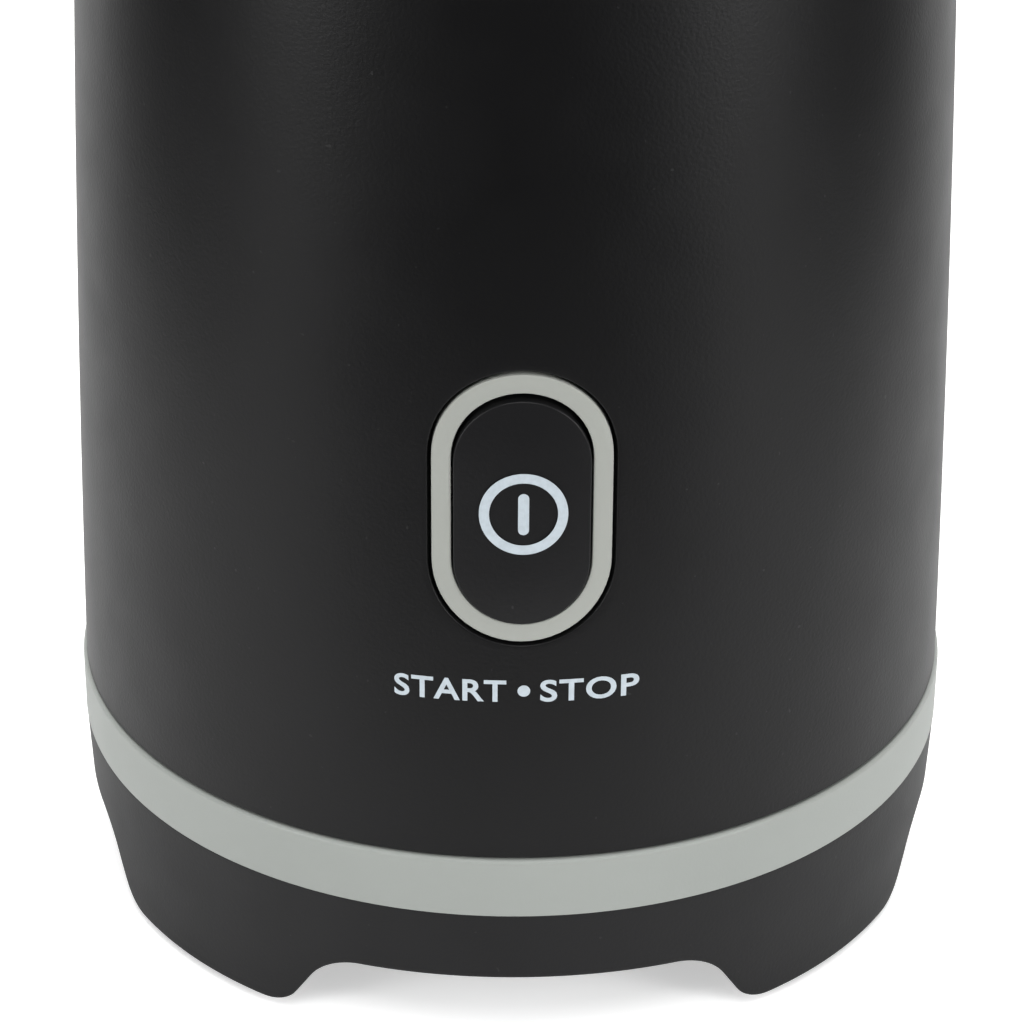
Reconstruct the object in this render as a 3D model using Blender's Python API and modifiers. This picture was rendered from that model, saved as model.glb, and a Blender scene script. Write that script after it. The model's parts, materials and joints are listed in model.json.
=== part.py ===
"""One-piece electric milk frother: tapered black housing on a four-footed base, with a grey
trim band, an oblong push button in a grey ring, a fixed steel cup with a magnetic whisk, and
a lift-off lid. Metres, +Z up, the table at z = 0, the front facing -Y, the axis at x = y = 0."""

import math

import bmesh
import bpy
from mathutils import Matrix

MM = 0.001
GAP = 0.3 * MM  # kept between pieces that touch

# Heights of the outer shape
PAD_PROUD = 0.8 * MM
ARCH_TOP = PAD_PROUD + 8.25 * MM  # at the arches' ends
ARCH_CROWN = 0.3 * MM  # how much higher their middles are
SKIRT_TOP = PAD_PROUD + 17.0 * MM
BAND_TOP = PAD_PROUD + 23.8 * MM
HOUSING_TOP = 168.0 * MM
LID_BOTTOM = 170.6 * MM
LID_TOP = 184.0 * MM
KNOB_TOP = 196.0 * MM

# Radii of the outer shape
FOOT_RADIUS = 48.7 * MM
BAND_RADIUS = 49.55 * MM
HOUSING_RADIUS = 49.17 * MM  # at the band's top edge
HOUSING_TAPER = 0.0226  # radius lost per height
HOUSING_BARREL = 0.1477  # further radius lost per height squared, per metre
WALL = 2.2 * MM
SPIGOT_RADIUS = 46.9 * MM

# Arches between the four feet: half widths at mid height
FRONT_ARCH_HALF = 23.2 * MM
SIDE_ARCH_HALF = 20.2 * MM
ARCH_FILLET = 6.6 * MM
ARCH_FOOT_FILLET = 4.4 * MM
ARCH_SLOPE = math.radians(60)
FOOT_INNER_RADIUS = 38.0 * MM
PAD_RADIUS = 3.9 * MM
PAD_CIRCLE = 42.8 * MM
PAD_ANGLE = math.radians(48.0)  # from the front or the back
PAD_POCKET_TOP = PAD_PROUD + 2.0 * MM
LEDGE_INNER_RADIUS = 31.0 * MM
LEDGE_BOTTOM = 12.1 * MM
LEDGE_TOP = 14.2 * MM
COVER_BOTTOM = PAD_PROUD + 8.8 * MM
COVER_SCREW_CIRCLE = 34.4 * MM
VENTS = 5
VENT_PITCH = 5.0 * MM
VENT_WIDTH = 1.8 * MM
VENT_LENGTH = 18.0 * MM

# Push button
BUTTON_Z = 65.35 * MM
RING_WIDTH = 18.3 * MM
RING_HEIGHT = 29.6 * MM
RING_WALL = 2.0 * MM
RING_PROUD = 0.15 * MM
BUTTON_PROUD = 0.35 * MM
POCKET_GAP = 0.5 * MM
RING_FLANGE_FRONT = -43.4 * MM
RING_FLANGE_BACK = -42.0 * MM
CAP_FLANGE_BACK = -40.5 * MM
STEM_END = -39.3 * MM
GUIDE_PLATE_FRONT = -34.5 * MM
GUIDE_PLATE_BACK = -33.0 * MM
BUTTON_BOARD_FRONT = -31.0 * MM
BUTTON_BOARD_BACK = -29.4 * MM
GUIDE_HALF_WIDTH = 12.3 * MM
GUIDE_HALF_HEIGHT = 15.9 * MM
SPRING_RADIUS = 7.7 * MM
SPRING_WIRE = 0.35 * MM

# Cup, whisk and drive
CUP_RADIUS = 36.0 * MM
CUP_WALL = 0.8 * MM
CUP_FLOOR = 84.0 * MM
CUP_RIM = 170.2 * MM
CUP_FLANGE_RADIUS = 41.4 * MM
WHISK_BASE = 86.3 * MM
WHISK_RING_Z = 89.0 * MM
WHISK_RING_MAJOR = 13.5 * MM
WHISK_RING_MINOR = 2.4 * MM
MAGNET_RADIUS = 3.0 * MM
MAGNET_CIRCLE = 7.2 * MM
CARRIER_BOTTOM = 78.5 * MM
CARRIER_TOP = 82.5 * MM
SHAFT_RADIUS = 1.15 * MM
MOTOR_RADIUS = 13.8 * MM
MOTOR_BOTTOM = 40.0 * MM
MOTOR_TOP = 74.0 * MM
HEATER_CIRCLE = 27.0 * MM
HEATER_TUBE = 3.2 * MM
HEATER_Z = 79.6 * MM
BRACKET_BOTTOM = 40.2 * MM
BRACKET_TOP = 42.7 * MM
BRACKET_SCREW_CIRCLE = 41.8 * MM
POWER_BOARD_Z = 29.0 * MM
POST_CIRCLE = 26.5 * MM

# Rear cord gland
GLAND_Z = 34.0 * MM
GLAND_BORE = 3.2 * MM
GLAND_HOLE_RADIUS = 5.0 * MM
GLAND_POCKET_RADIUS = 7.0 * MM
GLAND_POCKET_FLOOR = 47.6 * MM

# Fixings
SCREW_HOLE_RADIUS = 1.6 * MM
SMALL_HOLE_RADIUS = 1.3 * MM
SCREW_SHANK = 1.3 * MM
SMALL_SHANK = 1.0 * MM
COVER_SEAT = COVER_BOTTOM + 1.3 * MM
PLATE = 2.2 * MM  # thickness of the ledges and of the bottom cover
BOARD = 1.6 * MM

# Sides of the round pieces, by size
BIG = 40
MEDIUM = 24
SMALL = 12

COLOURS = {
    "black_plastic": ((0.022, 0.022, 0.023), 0.45, 0.0),
    "grey_plastic": ((0.41, 0.43, 0.41), 0.42, 0.0),
    "button_plastic": ((0.018, 0.018, 0.019), 0.35, 0.0),
    "inner_plastic": ((0.09, 0.09, 0.10), 0.6, 0.0),
    "steel": ((0.62, 0.62, 0.61), 0.28, 1.0),
    "dark_metal": ((0.20, 0.20, 0.21), 0.4, 1.0),
    "brass": ((0.75, 0.55, 0.25), 0.35, 1.0),
    "silicone": ((0.20, 0.21, 0.21), 0.6, 0.0),
    "rubber": ((0.03, 0.03, 0.03), 0.8, 0.0),
    "clear": ((0.85, 0.88, 0.90), 0.05, 0.0),
    "board_green": ((0.03, 0.16, 0.08), 0.5, 0.0),
    "cream_plastic": ((0.70, 0.66, 0.55), 0.5, 0.0),
}


def start():
    for obj in list(bpy.data.objects):
        bpy.data.objects.remove(obj, do_unlink=True)
    for name in ("milk_frother", "cutters"):
        bpy.context.scene.collection.children.link(bpy.data.collections.new(name))


def material(name):
    found = bpy.data.materials.get(name)
    if found:
        return found
    colour, roughness, metallic = COLOURS[name]
    made = bpy.data.materials.new(name)
    made.use_nodes = True
    shader = made.node_tree.nodes["Principled BSDF"]
    shader.inputs["Base Color"].default_value = (*colour, 1.0)
    shader.inputs["Roughness"].default_value = roughness
    shader.inputs["Metallic"].default_value = metallic
    if name == "clear":
        shader.inputs["Transmission Weight"].default_value = 1.0
    return made


def add(name, data, slot):
    """A new object in the frother's collection or, with no slot, among the cutters."""
    obj = bpy.data.objects.new(name, data)
    bpy.data.collections["milk_frother" if slot else "cutters"].objects.link(obj)
    if slot:
        data.materials.append(material(slot))
    else:
        obj.hide_render = True
        obj.display_type = "WIRE"
    return obj


def from_bmesh(name, bm, slot):
    mesh = bpy.data.meshes.new(name)
    bm.to_mesh(mesh)
    bm.free()
    return add(name, mesh, slot)


def turned(name, profile, slot, steps=BIG, location=(0, 0, 0), rotation=(0, 0, 0)):
    """Turns a profile of (radius, height) points about Z. The points run down the outer side
    and up the inner side; a profile that starts and ends at radius 0 makes a solid."""
    bm = bmesh.new()
    points = [bm.verts.new((radius, 0, height)) for radius, height in profile]
    solid = profile[0][0] == 0 and profile[-1][0] == 0
    pairs = list(zip(points, points[1:]))
    if not solid:
        pairs.append((points[-1], points[0]))
    for pair in pairs:
        bm.edges.new(pair)
    obj = from_bmesh(name, bm, slot)
    screw = obj.modifiers.new("Screw", "SCREW")
    screw.steps = screw.render_steps = steps
    screw.use_merge_vertices = True
    screw.merge_threshold = 0.00001
    screw.use_smooth_shade = True
    obj.location = location
    obj.rotation_euler = rotation
    return obj


def cylinder(name, radius, length, slot, steps, location, rotation=(0, 0, 0)):
    """A cylinder whose axis is Z until it is turned, centred on its location."""
    bm = bmesh.new()
    sides = {"segments": steps, "radius1": radius, "radius2": radius}
    bmesh.ops.create_cone(bm, cap_ends=True, depth=length, **sides)
    # No corner lies in the plane of a neighbour's corner
    off_step = Matrix.Rotation(0.7 * math.pi / steps, 3, "Z")
    bmesh.ops.rotate(bm, matrix=off_step, verts=bm.verts)
    obj = from_bmesh(name, bm, slot)
    obj.data.shade_smooth()
    obj.data.set_sharp_from_angle(angle=math.radians(40))
    obj.location = location
    obj.rotation_euler = rotation
    return obj


def disc(name, radius, bottom, top, slot, steps=MEDIUM, at=(0, 0)):
    """An upright cylinder between two heights."""
    return cylinder(name, radius, top - bottom, slot, steps, (*at, (bottom + top) / 2))


def along_y(name, radius, front, back, x, z, slot=None, steps=SMALL):
    """A cylinder from y = front to y = back."""
    place = (x, (front + back) / 2, z)
    return cylinder(name, radius, back - front, slot, steps, place, (math.pi / 2, 0, 0))


def ring(name, outer, inner, bottom, top, slot, steps=BIG, at=(0, 0)):
    profile = [(outer, top), (outer, bottom), (inner, bottom), (inner, top)]
    return turned(name, profile, slot, steps, location=(at[0], at[1], 0))


def box(name, low, high, slot, bevel=0.0):
    """A block between two corners, with its edges rounded where bevel is given."""
    bm = bmesh.new()
    bmesh.ops.create_cube(bm, size=1)
    size = [b - a for a, b in zip(low, high)]
    centre = [(a + b) / 2 for a, b in zip(low, high)]
    bmesh.ops.scale(bm, vec=size, verts=bm.verts)
    obj = from_bmesh(name, bm, slot)
    obj.location = centre
    if bevel:
        rounding = obj.modifiers.new("Bevel", "BEVEL")
        rounding.width = bevel
        rounding.segments = 2
    return obj


def prism(name, outlines, front, back, slot):
    """A solid between the planes y = front and y = back, whose outlines are closed loops of
    (x, z) points: the first is the outside, and any other is a hole."""
    curve = bpy.data.curves.new(name, "CURVE")
    curve.dimensions = "2D"
    curve.fill_mode = "BOTH"
    curve.extrude = (back - front) / 2
    for outline in outlines:
        spline = curve.splines.new("POLY")
        spline.points.add(len(outline) - 1)
        for point, (x, z) in zip(spline.points, outline):
            point.co = (x, z, 0, 1)
        spline.use_cyclic_u = True
    guide = bpy.data.objects.new(name + "_outline", curve)
    bpy.context.scene.collection.objects.link(guide)
    bpy.context.view_layer.update()
    graph = bpy.context.evaluated_depsgraph_get()
    mesh = bpy.data.meshes.new_from_object(guide.evaluated_get(graph))
    bpy.data.objects.remove(guide)
    bpy.data.curves.remove(curve)
    bm = bmesh.new()
    bm.from_mesh(mesh)
    bpy.data.meshes.remove(mesh)
    bmesh.ops.remove_doubles(bm, verts=bm.verts, dist=0.000001)
    bmesh.ops.recalc_face_normals(bm, faces=bm.faces)
    obj = from_bmesh(name, bm, slot)
    obj.rotation_euler = (math.pi / 2, 0, 0)
    obj.location = (0, (front + back) / 2, 0)
    return obj


def tube(name, points, radius, slot, resolution=2):
    """A round wire along the points, with closed ends."""
    curve = bpy.data.curves.new(name, "CURVE")
    curve.dimensions = "3D"
    curve.bevel_depth = radius
    curve.bevel_resolution = resolution
    curve.use_fill_caps = True
    spline = curve.splines.new("POLY")
    spline.points.add(len(points) - 1)
    for point, place in zip(spline.points, points):
        point.co = (*place, 1)
    return add(name, curve, slot)


def boolean(obj, other, operation="DIFFERENCE"):
    change = obj.modifiers.new(operation.title(), "BOOLEAN")
    change.operation = operation
    change.object = other
    change.solver = "EXACT"


def obround(width, height, centre_z, steps=8):
    """The outline of an upright slot: two half circles joined by straight sides."""
    radius = width / 2
    reach = height / 2 - radius
    points = []
    for end in (0, 1):
        for i in range(steps + 1):
            angle = math.pi * (end + i / steps)
            z = centre_z + (reach if end == 0 else -reach) + radius * math.sin(angle)
            points.append((radius * math.cos(angle), z))
    return points


def housing_radius(z):
    height = z - BAND_TOP
    return HOUSING_RADIUS - HOUSING_TAPER * height - HOUSING_BARREL * height**2


def spread(start_z, end_z, count):
    return [start_z + (end_z - start_z) * i / count for i in range(count + 1)]


def housing():
    bottom = BAND_TOP + GAP
    ledge_bottom = BRACKET_TOP + GAP
    ledge_top = ledge_bottom + PLATE
    rounding = 1.2 * MM
    top_radius = housing_radius(HOUSING_TOP)
    profile = [
        (top_radius - rounding, HOUSING_TOP),
        (top_radius - 0.3 * rounding, HOUSING_TOP - 0.3 * rounding),
    ]
    profile += [(housing_radius(z), z) for z in spread(HOUSING_TOP - rounding, bottom, 6)]
    profile += [
        (SPIGOT_RADIUS, bottom),
        (SPIGOT_RADIUS, LEDGE_TOP + GAP),
        (SPIGOT_RADIUS - 2 * MM, LEDGE_TOP + GAP),
        (SPIGOT_RADIUS - 2 * MM, bottom + 1 * MM),
        (housing_radius(bottom + 4 * MM) - WALL, bottom + 4 * MM),
        (housing_radius(ledge_bottom) - WALL, ledge_bottom),
        (40 * MM, ledge_bottom),
        (40 * MM, ledge_top),
    ]
    flange_bottom = HOUSING_TOP - PLATE
    profile += [(housing_radius(z) - WALL, z) for z in spread(ledge_top, flange_bottom, 3)]
    profile += [(38.3 * MM, flange_bottom), (38.3 * MM, HOUSING_TOP)]
    shell = turned("housing", profile, "black_plastic")
    slot = obround(RING_WIDTH + 2 * POCKET_GAP, RING_HEIGHT + 2 * POCKET_GAP, BUTTON_Z)
    boolean(shell, prism("cut_button_slot", [slot], -60 * MM, -38 * MM, None))
    bore = [
        (0, -40 * MM),
        (GLAND_HOLE_RADIUS, -40 * MM),
        (GLAND_HOLE_RADIUS, -GLAND_POCKET_FLOOR),
        (GLAND_POCKET_RADIUS, -GLAND_POCKET_FLOOR),
        (GLAND_POCKET_RADIUS, -60 * MM),
        (0, -60 * MM),
    ]
    gland_turn = (math.pi / 2, 0, 0)
    boolean(shell, turned("cut_gland", bore, None, MEDIUM, (0, 0, GLAND_Z), gland_turn))
    for i, place in enumerate(bracket_screw_places()):
        hole = disc(f"cut_ledge_{i}", SCREW_HOLE_RADIUS, 40 * MM, 50 * MM, None, SMALL, place)
        boolean(shell, hole)


def trim_band():
    bottom = SKIRT_TOP + GAP
    profile = [
        (BAND_RADIUS - 0.4 * MM, BAND_TOP),
        (BAND_RADIUS - 0.12 * MM, BAND_TOP - 0.12 * MM),
        (BAND_RADIUS, BAND_TOP - 0.5 * MM),
        (BAND_RADIUS, bottom),
        (SPIGOT_RADIUS + GAP, bottom),
        (SPIGOT_RADIUS + GAP, BAND_TOP),
    ]
    turned("trim_band", profile, "grey_plastic", 48)


def arch(half_width):
    """The arch between two feet, as an (x, z) outline: a slightly crowned top, fillets into
    sloping sides, and rounded foot corners down to the feet's bottom."""
    drop = ARCH_FILLET * (1 - math.cos(ARCH_SLOPE))
    lift = ARCH_FOOT_FILLET * (1 - math.cos(ARCH_SLOPE))
    slope_run = (ARCH_TOP - PAD_PROUD - drop - lift) / math.tan(ARCH_SLOPE)
    reach = half_width + slope_run / 2 + ARCH_FOOT_FILLET * math.sin(ARCH_SLOPE)
    top_start = half_width - slope_run / 2 - ARCH_FILLET * math.sin(ARCH_SLOPE)
    side = []
    for i in range(1, 4):
        share = i / 4
        side.append((top_start * share, ARCH_TOP + ARCH_CROWN * (1 - share**2)))
    for i in range(7):
        angle = ARCH_SLOPE * i / 6
        drop = ARCH_FILLET * (1 - math.cos(angle))
        side.append((top_start + ARCH_FILLET * math.sin(angle), ARCH_TOP - drop))
    for i in range(7):
        angle = ARCH_SLOPE * (6 - i) / 6
        lift = ARCH_FOOT_FILLET * (1 - math.cos(angle))
        side.append((reach - ARCH_FOOT_FILLET * math.sin(angle), PAD_PROUD + lift))
    side.append((reach, -1 * MM))
    return side + [(-x, z) for x, z in reversed(side)]


def pad_places():
    angles = (PAD_ANGLE, math.pi - PAD_ANGLE, math.pi + PAD_ANGLE, -PAD_ANGLE)
    return [(PAD_CIRCLE * math.sin(a), -PAD_CIRCLE * math.cos(a)) for a in angles]


def circle_places(radius, count, first):
    angles = [math.radians(first) + 2 * math.pi * i / count for i in range(count)]
    return [(radius * math.sin(a), -radius * math.cos(a)) for a in angles]


def bracket_screw_places():
    return circle_places(BRACKET_SCREW_CIRCLE, 3, 0)


def cover_screw_places():
    return circle_places(COVER_SCREW_CIRCLE, 4, 45)


def post_places():
    return circle_places(POST_CIRCLE, 3, 60)


def base_skirt():
    top_radius = BAND_RADIUS - 0.08 * MM
    inner = SPIGOT_RADIUS + GAP
    profile = [
        (top_radius - 0.1 * MM, SKIRT_TOP),
        (top_radius, SKIRT_TOP - 0.25 * MM),
        (FOOT_RADIUS + 0.04 * MM, PAD_PROUD + 0.6 * MM),
        (FOOT_RADIUS - 0.15 * MM, PAD_PROUD + 0.15 * MM),
        (FOOT_RADIUS - 0.6 * MM, PAD_PROUD),
        (FOOT_INNER_RADIUS, PAD_PROUD),
        (FOOT_INNER_RADIUS, LEDGE_BOTTOM),
        (LEDGE_INNER_RADIUS, LEDGE_BOTTOM),
        (LEDGE_INNER_RADIUS, LEDGE_TOP),
        (inner, LEDGE_TOP),
        (inner, SKIRT_TOP),
    ]
    skirt = turned("base_skirt", profile, "black_plastic", 48)
    boolean(skirt, prism("cut_front_arch", [arch(FRONT_ARCH_HALF)], -60 * MM, 60 * MM, None))
    side = prism("cut_side_arch", [arch(SIDE_ARCH_HALF)], -60 * MM, 60 * MM, None)
    side.rotation_euler = (math.pi / 2, 0, math.pi / 2)
    boolean(skirt, side)
    for i, place in enumerate(pad_places()):
        pocket = disc(f"cut_pad_{i}", PAD_RADIUS + GAP, -1 * MM, PAD_POCKET_TOP, None, MEDIUM, place)
        boolean(skirt, pocket)
    for i, place in enumerate(cover_screw_places()):
        hole = disc(f"cut_ledge_screw_{i}", SCREW_HOLE_RADIUS, 11 * MM, 16 * MM, None, SMALL, place)
        boolean(skirt, hole)


def foot_pads():
    top = PAD_POCKET_TOP - GAP
    edge = 0.3 * MM
    for i, place in enumerate(pad_places(), 1):
        profile = [(0, top), (PAD_RADIUS, top), (PAD_RADIUS, edge), (PAD_RADIUS - edge, 0), (0, 0)]
        turned(f"foot_pad_{i}", profile, "rubber", MEDIUM, (*place, 0))


def bottom_cover():
    radius = FOOT_INNER_RADIUS - GAP
    top = COVER_BOTTOM + PLATE
    cover = disc("bottom_cover", radius, COVER_BOTTOM, top, "inner_plastic", BIG)
    post_top = POWER_BOARD_Z - GAP
    for i, place in enumerate(post_places()):
        post = disc(f"add_post_{i}", 3 * MM, COVER_BOTTOM + 1 * MM, post_top, None, SMALL, place)
        boolean(cover, post, "UNION")
        hole = disc(f"cut_post_{i}", SCREW_HOLE_RADIUS, 20 * MM, 30 * MM, None, SMALL, place)
        boolean(cover, hole)
    for i, place in enumerate(cover_screw_places()):
        hole = disc(f"cut_cover_{i}", SCREW_HOLE_RADIUS, 5 * MM, 16 * MM, None, SMALL, place)
        boolean(cover, hole)
        boolean(cover, disc(f"cut_seat_{i}", 2.9 * MM, 5 * MM, COVER_SEAT, None, 16, place))
    for i in range(VENTS):
        x = (i - (VENTS - 1) / 2) * VENT_PITCH
        low = (x - VENT_WIDTH / 2, -VENT_LENGTH / 2, 5 * MM)
        high = (x + VENT_WIDTH / 2, VENT_LENGTH / 2, 16 * MM)
        boolean(cover, box(f"cut_vent_{i}", low, high, None))


def screw(name, place, head_z, length, down=True, head=2.4 * MM, shank=SCREW_SHANK):
    """A pan-head screw on a vertical axis; head_z is the face under its head."""
    rise = 1.5 * MM
    profile = [
        (0, rise),
        (head * 0.75, rise),
        (head, rise * 0.45),
        (head, 0),
        (shank, 0),
        (shank, -length + 0.8 * MM),
        (0, -length),
    ]
    turn = (0, 0, 0) if down else (math.pi, 0, 0)
    return turned(name, profile, "steel", 10, (*place, head_z), turn)


def button_ring():
    hole = obround(RING_WIDTH - 2 * RING_WALL, RING_HEIGHT - 2 * RING_WALL, BUTTON_Z)
    outside = obround(RING_WIDTH, RING_HEIGHT, BUTTON_Z)
    ring_body = prism("button_ring", [outside, hole], -52 * MM, RING_FLANGE_BACK, "grey_plastic")
    boolean(ring_body, front_envelope("keep_ring_front", RING_PROUD), "INTERSECT")
    flange_outline = obround(RING_WIDTH + 3.2 * MM, RING_HEIGHT + 3.2 * MM, BUTTON_Z)
    inside = obround(RING_WIDTH - RING_WALL, RING_HEIGHT - RING_WALL, BUTTON_Z)
    outlines = [flange_outline, inside]
    flange = prism("add_ring_flange", outlines, RING_FLANGE_FRONT, RING_FLANGE_BACK, None)
    boolean(ring_body, flange, "UNION")


def front_envelope(name, proud):
    """A solid that follows the housing's surface a little outside it round the button."""
    heights = spread(BUTTON_Z + 20 * MM, BUTTON_Z - 20 * MM, 4)
    profile = [(0, heights[0])]
    profile += [(housing_radius(z) + proud, z) for z in heights]
    profile.append((0, heights[-1]))
    return turned(name, profile, None, 120)


def push_button():
    clearance = 2 * (RING_WALL + GAP)
    face = obround(RING_WIDTH - clearance, RING_HEIGHT - clearance, BUTTON_Z)
    flange_outline = obround(RING_WIDTH - 1.8 * MM, RING_HEIGHT - 1.8 * MM, BUTTON_Z)
    flange_front = RING_FLANGE_BACK + GAP
    middle = (flange_front + CAP_FLANGE_BACK) / 2
    cap = prism("button_cap", [face], -52 * MM, middle, "button_plastic")
    boolean(cap, front_envelope("keep_cap_front", BUTTON_PROUD), "INTERSECT")
    flange = prism("add_cap_flange", [flange_outline], flange_front, CAP_FLANGE_BACK, None)
    boolean(cap, flange, "UNION")
    stem = along_y("add_stem", 2.5 * MM, CAP_FLANGE_BACK - 1 * MM, STEM_END, 0, BUTTON_Z)
    boolean(cap, stem, "UNION")


def button_guide():
    low = (-GUIDE_HALF_WIDTH, RING_FLANGE_BACK + GAP, BUTTON_Z - GUIDE_HALF_HEIGHT)
    high = (GUIDE_HALF_WIDTH, GUIDE_PLATE_BACK, BUTTON_Z + GUIDE_HALF_HEIGHT)
    guide = box("button_guide", low, high, "inner_plastic")
    pocket = obround(RING_WIDTH - 1.2 * MM, RING_HEIGHT - 1.2 * MM, BUTTON_Z)
    boolean(guide, prism("cut_guide_pocket", [pocket], -50 * MM, GUIDE_PLATE_FRONT, None))
    low = (-5.3 * MM, -36 * MM, BUTTON_Z - 5.3 * MM)
    high = (5.3 * MM, -30 * MM, BUTTON_Z + 5.3 * MM)
    boolean(guide, box("cut_switch_window", low, high, None))
    post_front = GUIDE_PLATE_BACK - 1 * MM
    post_back = BUTTON_BOARD_FRONT - GAP
    for i, (x, z) in enumerate(button_board_screw_places()):
        post = along_y(f"add_guide_post_{i}", 2.4 * MM, post_front, post_back, x, z)
        boolean(guide, post, "UNION")
        hole = along_y(f"cut_guide_post_{i}", SMALL_HOLE_RADIUS, -33.6 * MM, -29 * MM, x, z)
        boolean(guide, hole)


def button_board_screw_places():
    return [(8.6 * MM, BUTTON_Z - 8.2 * MM), (-8.6 * MM, BUTTON_Z + 6.6 * MM)]


def button_electrics():
    low = (-12 * MM, BUTTON_BOARD_FRONT, BUTTON_Z - 12 * MM)
    high = (12 * MM, BUTTON_BOARD_BACK, BUTTON_Z + 8.8 * MM)
    board = box("button_board", low, high, "board_green")
    screw_profile = [
        (0, 1.3 * MM),
        (1.6 * MM, 1.3 * MM),
        (2.1 * MM, 0.5 * MM),
        (2.1 * MM, 0),
        (SMALL_SHANK, 0),
        (SMALL_SHANK, -3.6 * MM),
        (0, -4.2 * MM),
    ]
    turn = (-math.pi / 2, 0, 0)
    for i, (x, z) in enumerate(button_board_screw_places(), 1):
        hole = along_y(f"cut_button_board_{i}", SMALL_HOLE_RADIUS, -33 * MM, -27 * MM, x, z)
        boolean(board, hole)
        place = (x, BUTTON_BOARD_BACK + GAP, z)
        turned(f"button_board_screw_{i}", screw_profile, "steel", SMALL, place, turn)
    low = (-5 * MM, -35 * MM, BUTTON_Z - 5 * MM)
    high = (5 * MM, BUTTON_BOARD_FRONT - GAP, BUTTON_Z + 5 * MM)
    switch = box("micro_switch", low, high, "inner_plastic")
    boolean(switch, along_y("cut_plunger", 2.5 * MM, -37 * MM, -29 * MM, 0, BUTTON_Z))
    along_y("switch_plunger", 2.2 * MM, STEM_END + GAP, -33.4 * MM, 0, BUTTON_Z, "cream_plastic")
    turns = 4
    per_turn = 12
    start_y = CAP_FLANGE_BACK + 0.7 * MM
    end_y = GUIDE_PLATE_FRONT - 0.7 * MM
    points = []
    for i in range(turns * per_turn + 1):
        angle = 2 * math.pi * i / per_turn
        y = start_y + (end_y - start_y) * i / (turns * per_turn)
        x = SPRING_RADIUS * math.cos(angle)
        points.append((x, y, BUTTON_Z + SPRING_RADIUS * math.sin(angle)))
    tube("button_spring", points, SPRING_WIRE, "steel", 1)


def cup():
    fillet = 6 * MM
    outer = CUP_RADIUS + CUP_WALL
    inside = []
    outside = []
    for i in range(6):
        angle = math.pi / 2 * i / 5
        across = math.sin(angle)
        up = 1 - math.cos(angle)
        inside.append((CUP_RADIUS - fillet + fillet * across, CUP_FLOOR + fillet * up))
        reach = fillet + CUP_WALL
        outside.append((CUP_RADIUS - fillet + reach * across, CUP_FLOOR - CUP_WALL + reach * up))
    rim_to_base = [
        (CUP_FLANGE_RADIUS, CUP_RIM),
        (CUP_FLANGE_RADIUS, CUP_RIM - CUP_WALL),
        (outer, CUP_RIM - CUP_WALL),
    ]
    rim_to_base += outside[::-1]
    rim_to_base.append((0, CUP_FLOOR - CUP_WALL))
    floor_to_rim = [(0, CUP_FLOOR)] + inside + [(CUP_RADIUS, CUP_RIM)]
    turned("cup", floor_to_rim + rim_to_base, "steel", BIG)
    seal_bottom = HOUSING_TOP + GAP
    seal_top = CUP_RIM - CUP_WALL - GAP
    ring("cup_seal", CUP_FLANGE_RADIUS, 38.6 * MM, seal_bottom, seal_top, "silicone", BIG)
    post_foot = CUP_FLOOR + GAP
    post = [
        (0, 97 * MM),
        (1.6 * MM, 96.6 * MM),
        (2 * MM, 95.6 * MM),
        (2 * MM, post_foot + CUP_WALL),
        (5 * MM, post_foot + CUP_WALL),
        (5 * MM, post_foot),
        (0, post_foot),
    ]
    turned("whisk_post", post, "steel", 20)


def whisk():
    collar = WHISK_RING_MAJOR - WHISK_RING_MINOR - GAP
    bore = 2.3 * MM
    profile = [
        (0, 105 * MM),
        (3.2 * MM, 104.4 * MM),
        (4.2 * MM, 103 * MM),
        (3.6 * MM, 98 * MM),
        (4.4 * MM, 93.4 * MM),
        (7 * MM, 92 * MM),
        (collar, 91.4 * MM),
        (collar, WHISK_BASE),
        (bore, WHISK_BASE),
        (bore, 97.6 * MM),
        (0, 98.4 * MM),
    ]
    hub = turned("whisk_hub", profile, "inner_plastic", MEDIUM)
    magnet_bottom = WHISK_BASE + 0.2 * MM
    magnet_top = 89.1 * MM
    hole_radius = MAGNET_RADIUS + GAP
    for i, side in enumerate((-1, 1), 1):
        place = (side * MAGNET_CIRCLE, 0)
        hole_top = magnet_top + GAP
        hole = disc(f"cut_whisk_magnet_{i}", hole_radius, 80 * MM, hole_top, None, 16, place)
        boolean(hub, hole)
        disc(f"whisk_magnet_{i}", MAGNET_RADIUS, magnet_bottom, magnet_top, "steel", 16, place)
    loop = []
    for i in range(10):
        angle = 2 * math.pi * (0.25 - i / 10)
        radius = WHISK_RING_MAJOR + WHISK_RING_MINOR * math.cos(angle)
        loop.append((radius, WHISK_RING_Z + WHISK_RING_MINOR * math.sin(angle)))
    turned("whisk_coil", loop, "steel", MEDIUM)


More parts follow.
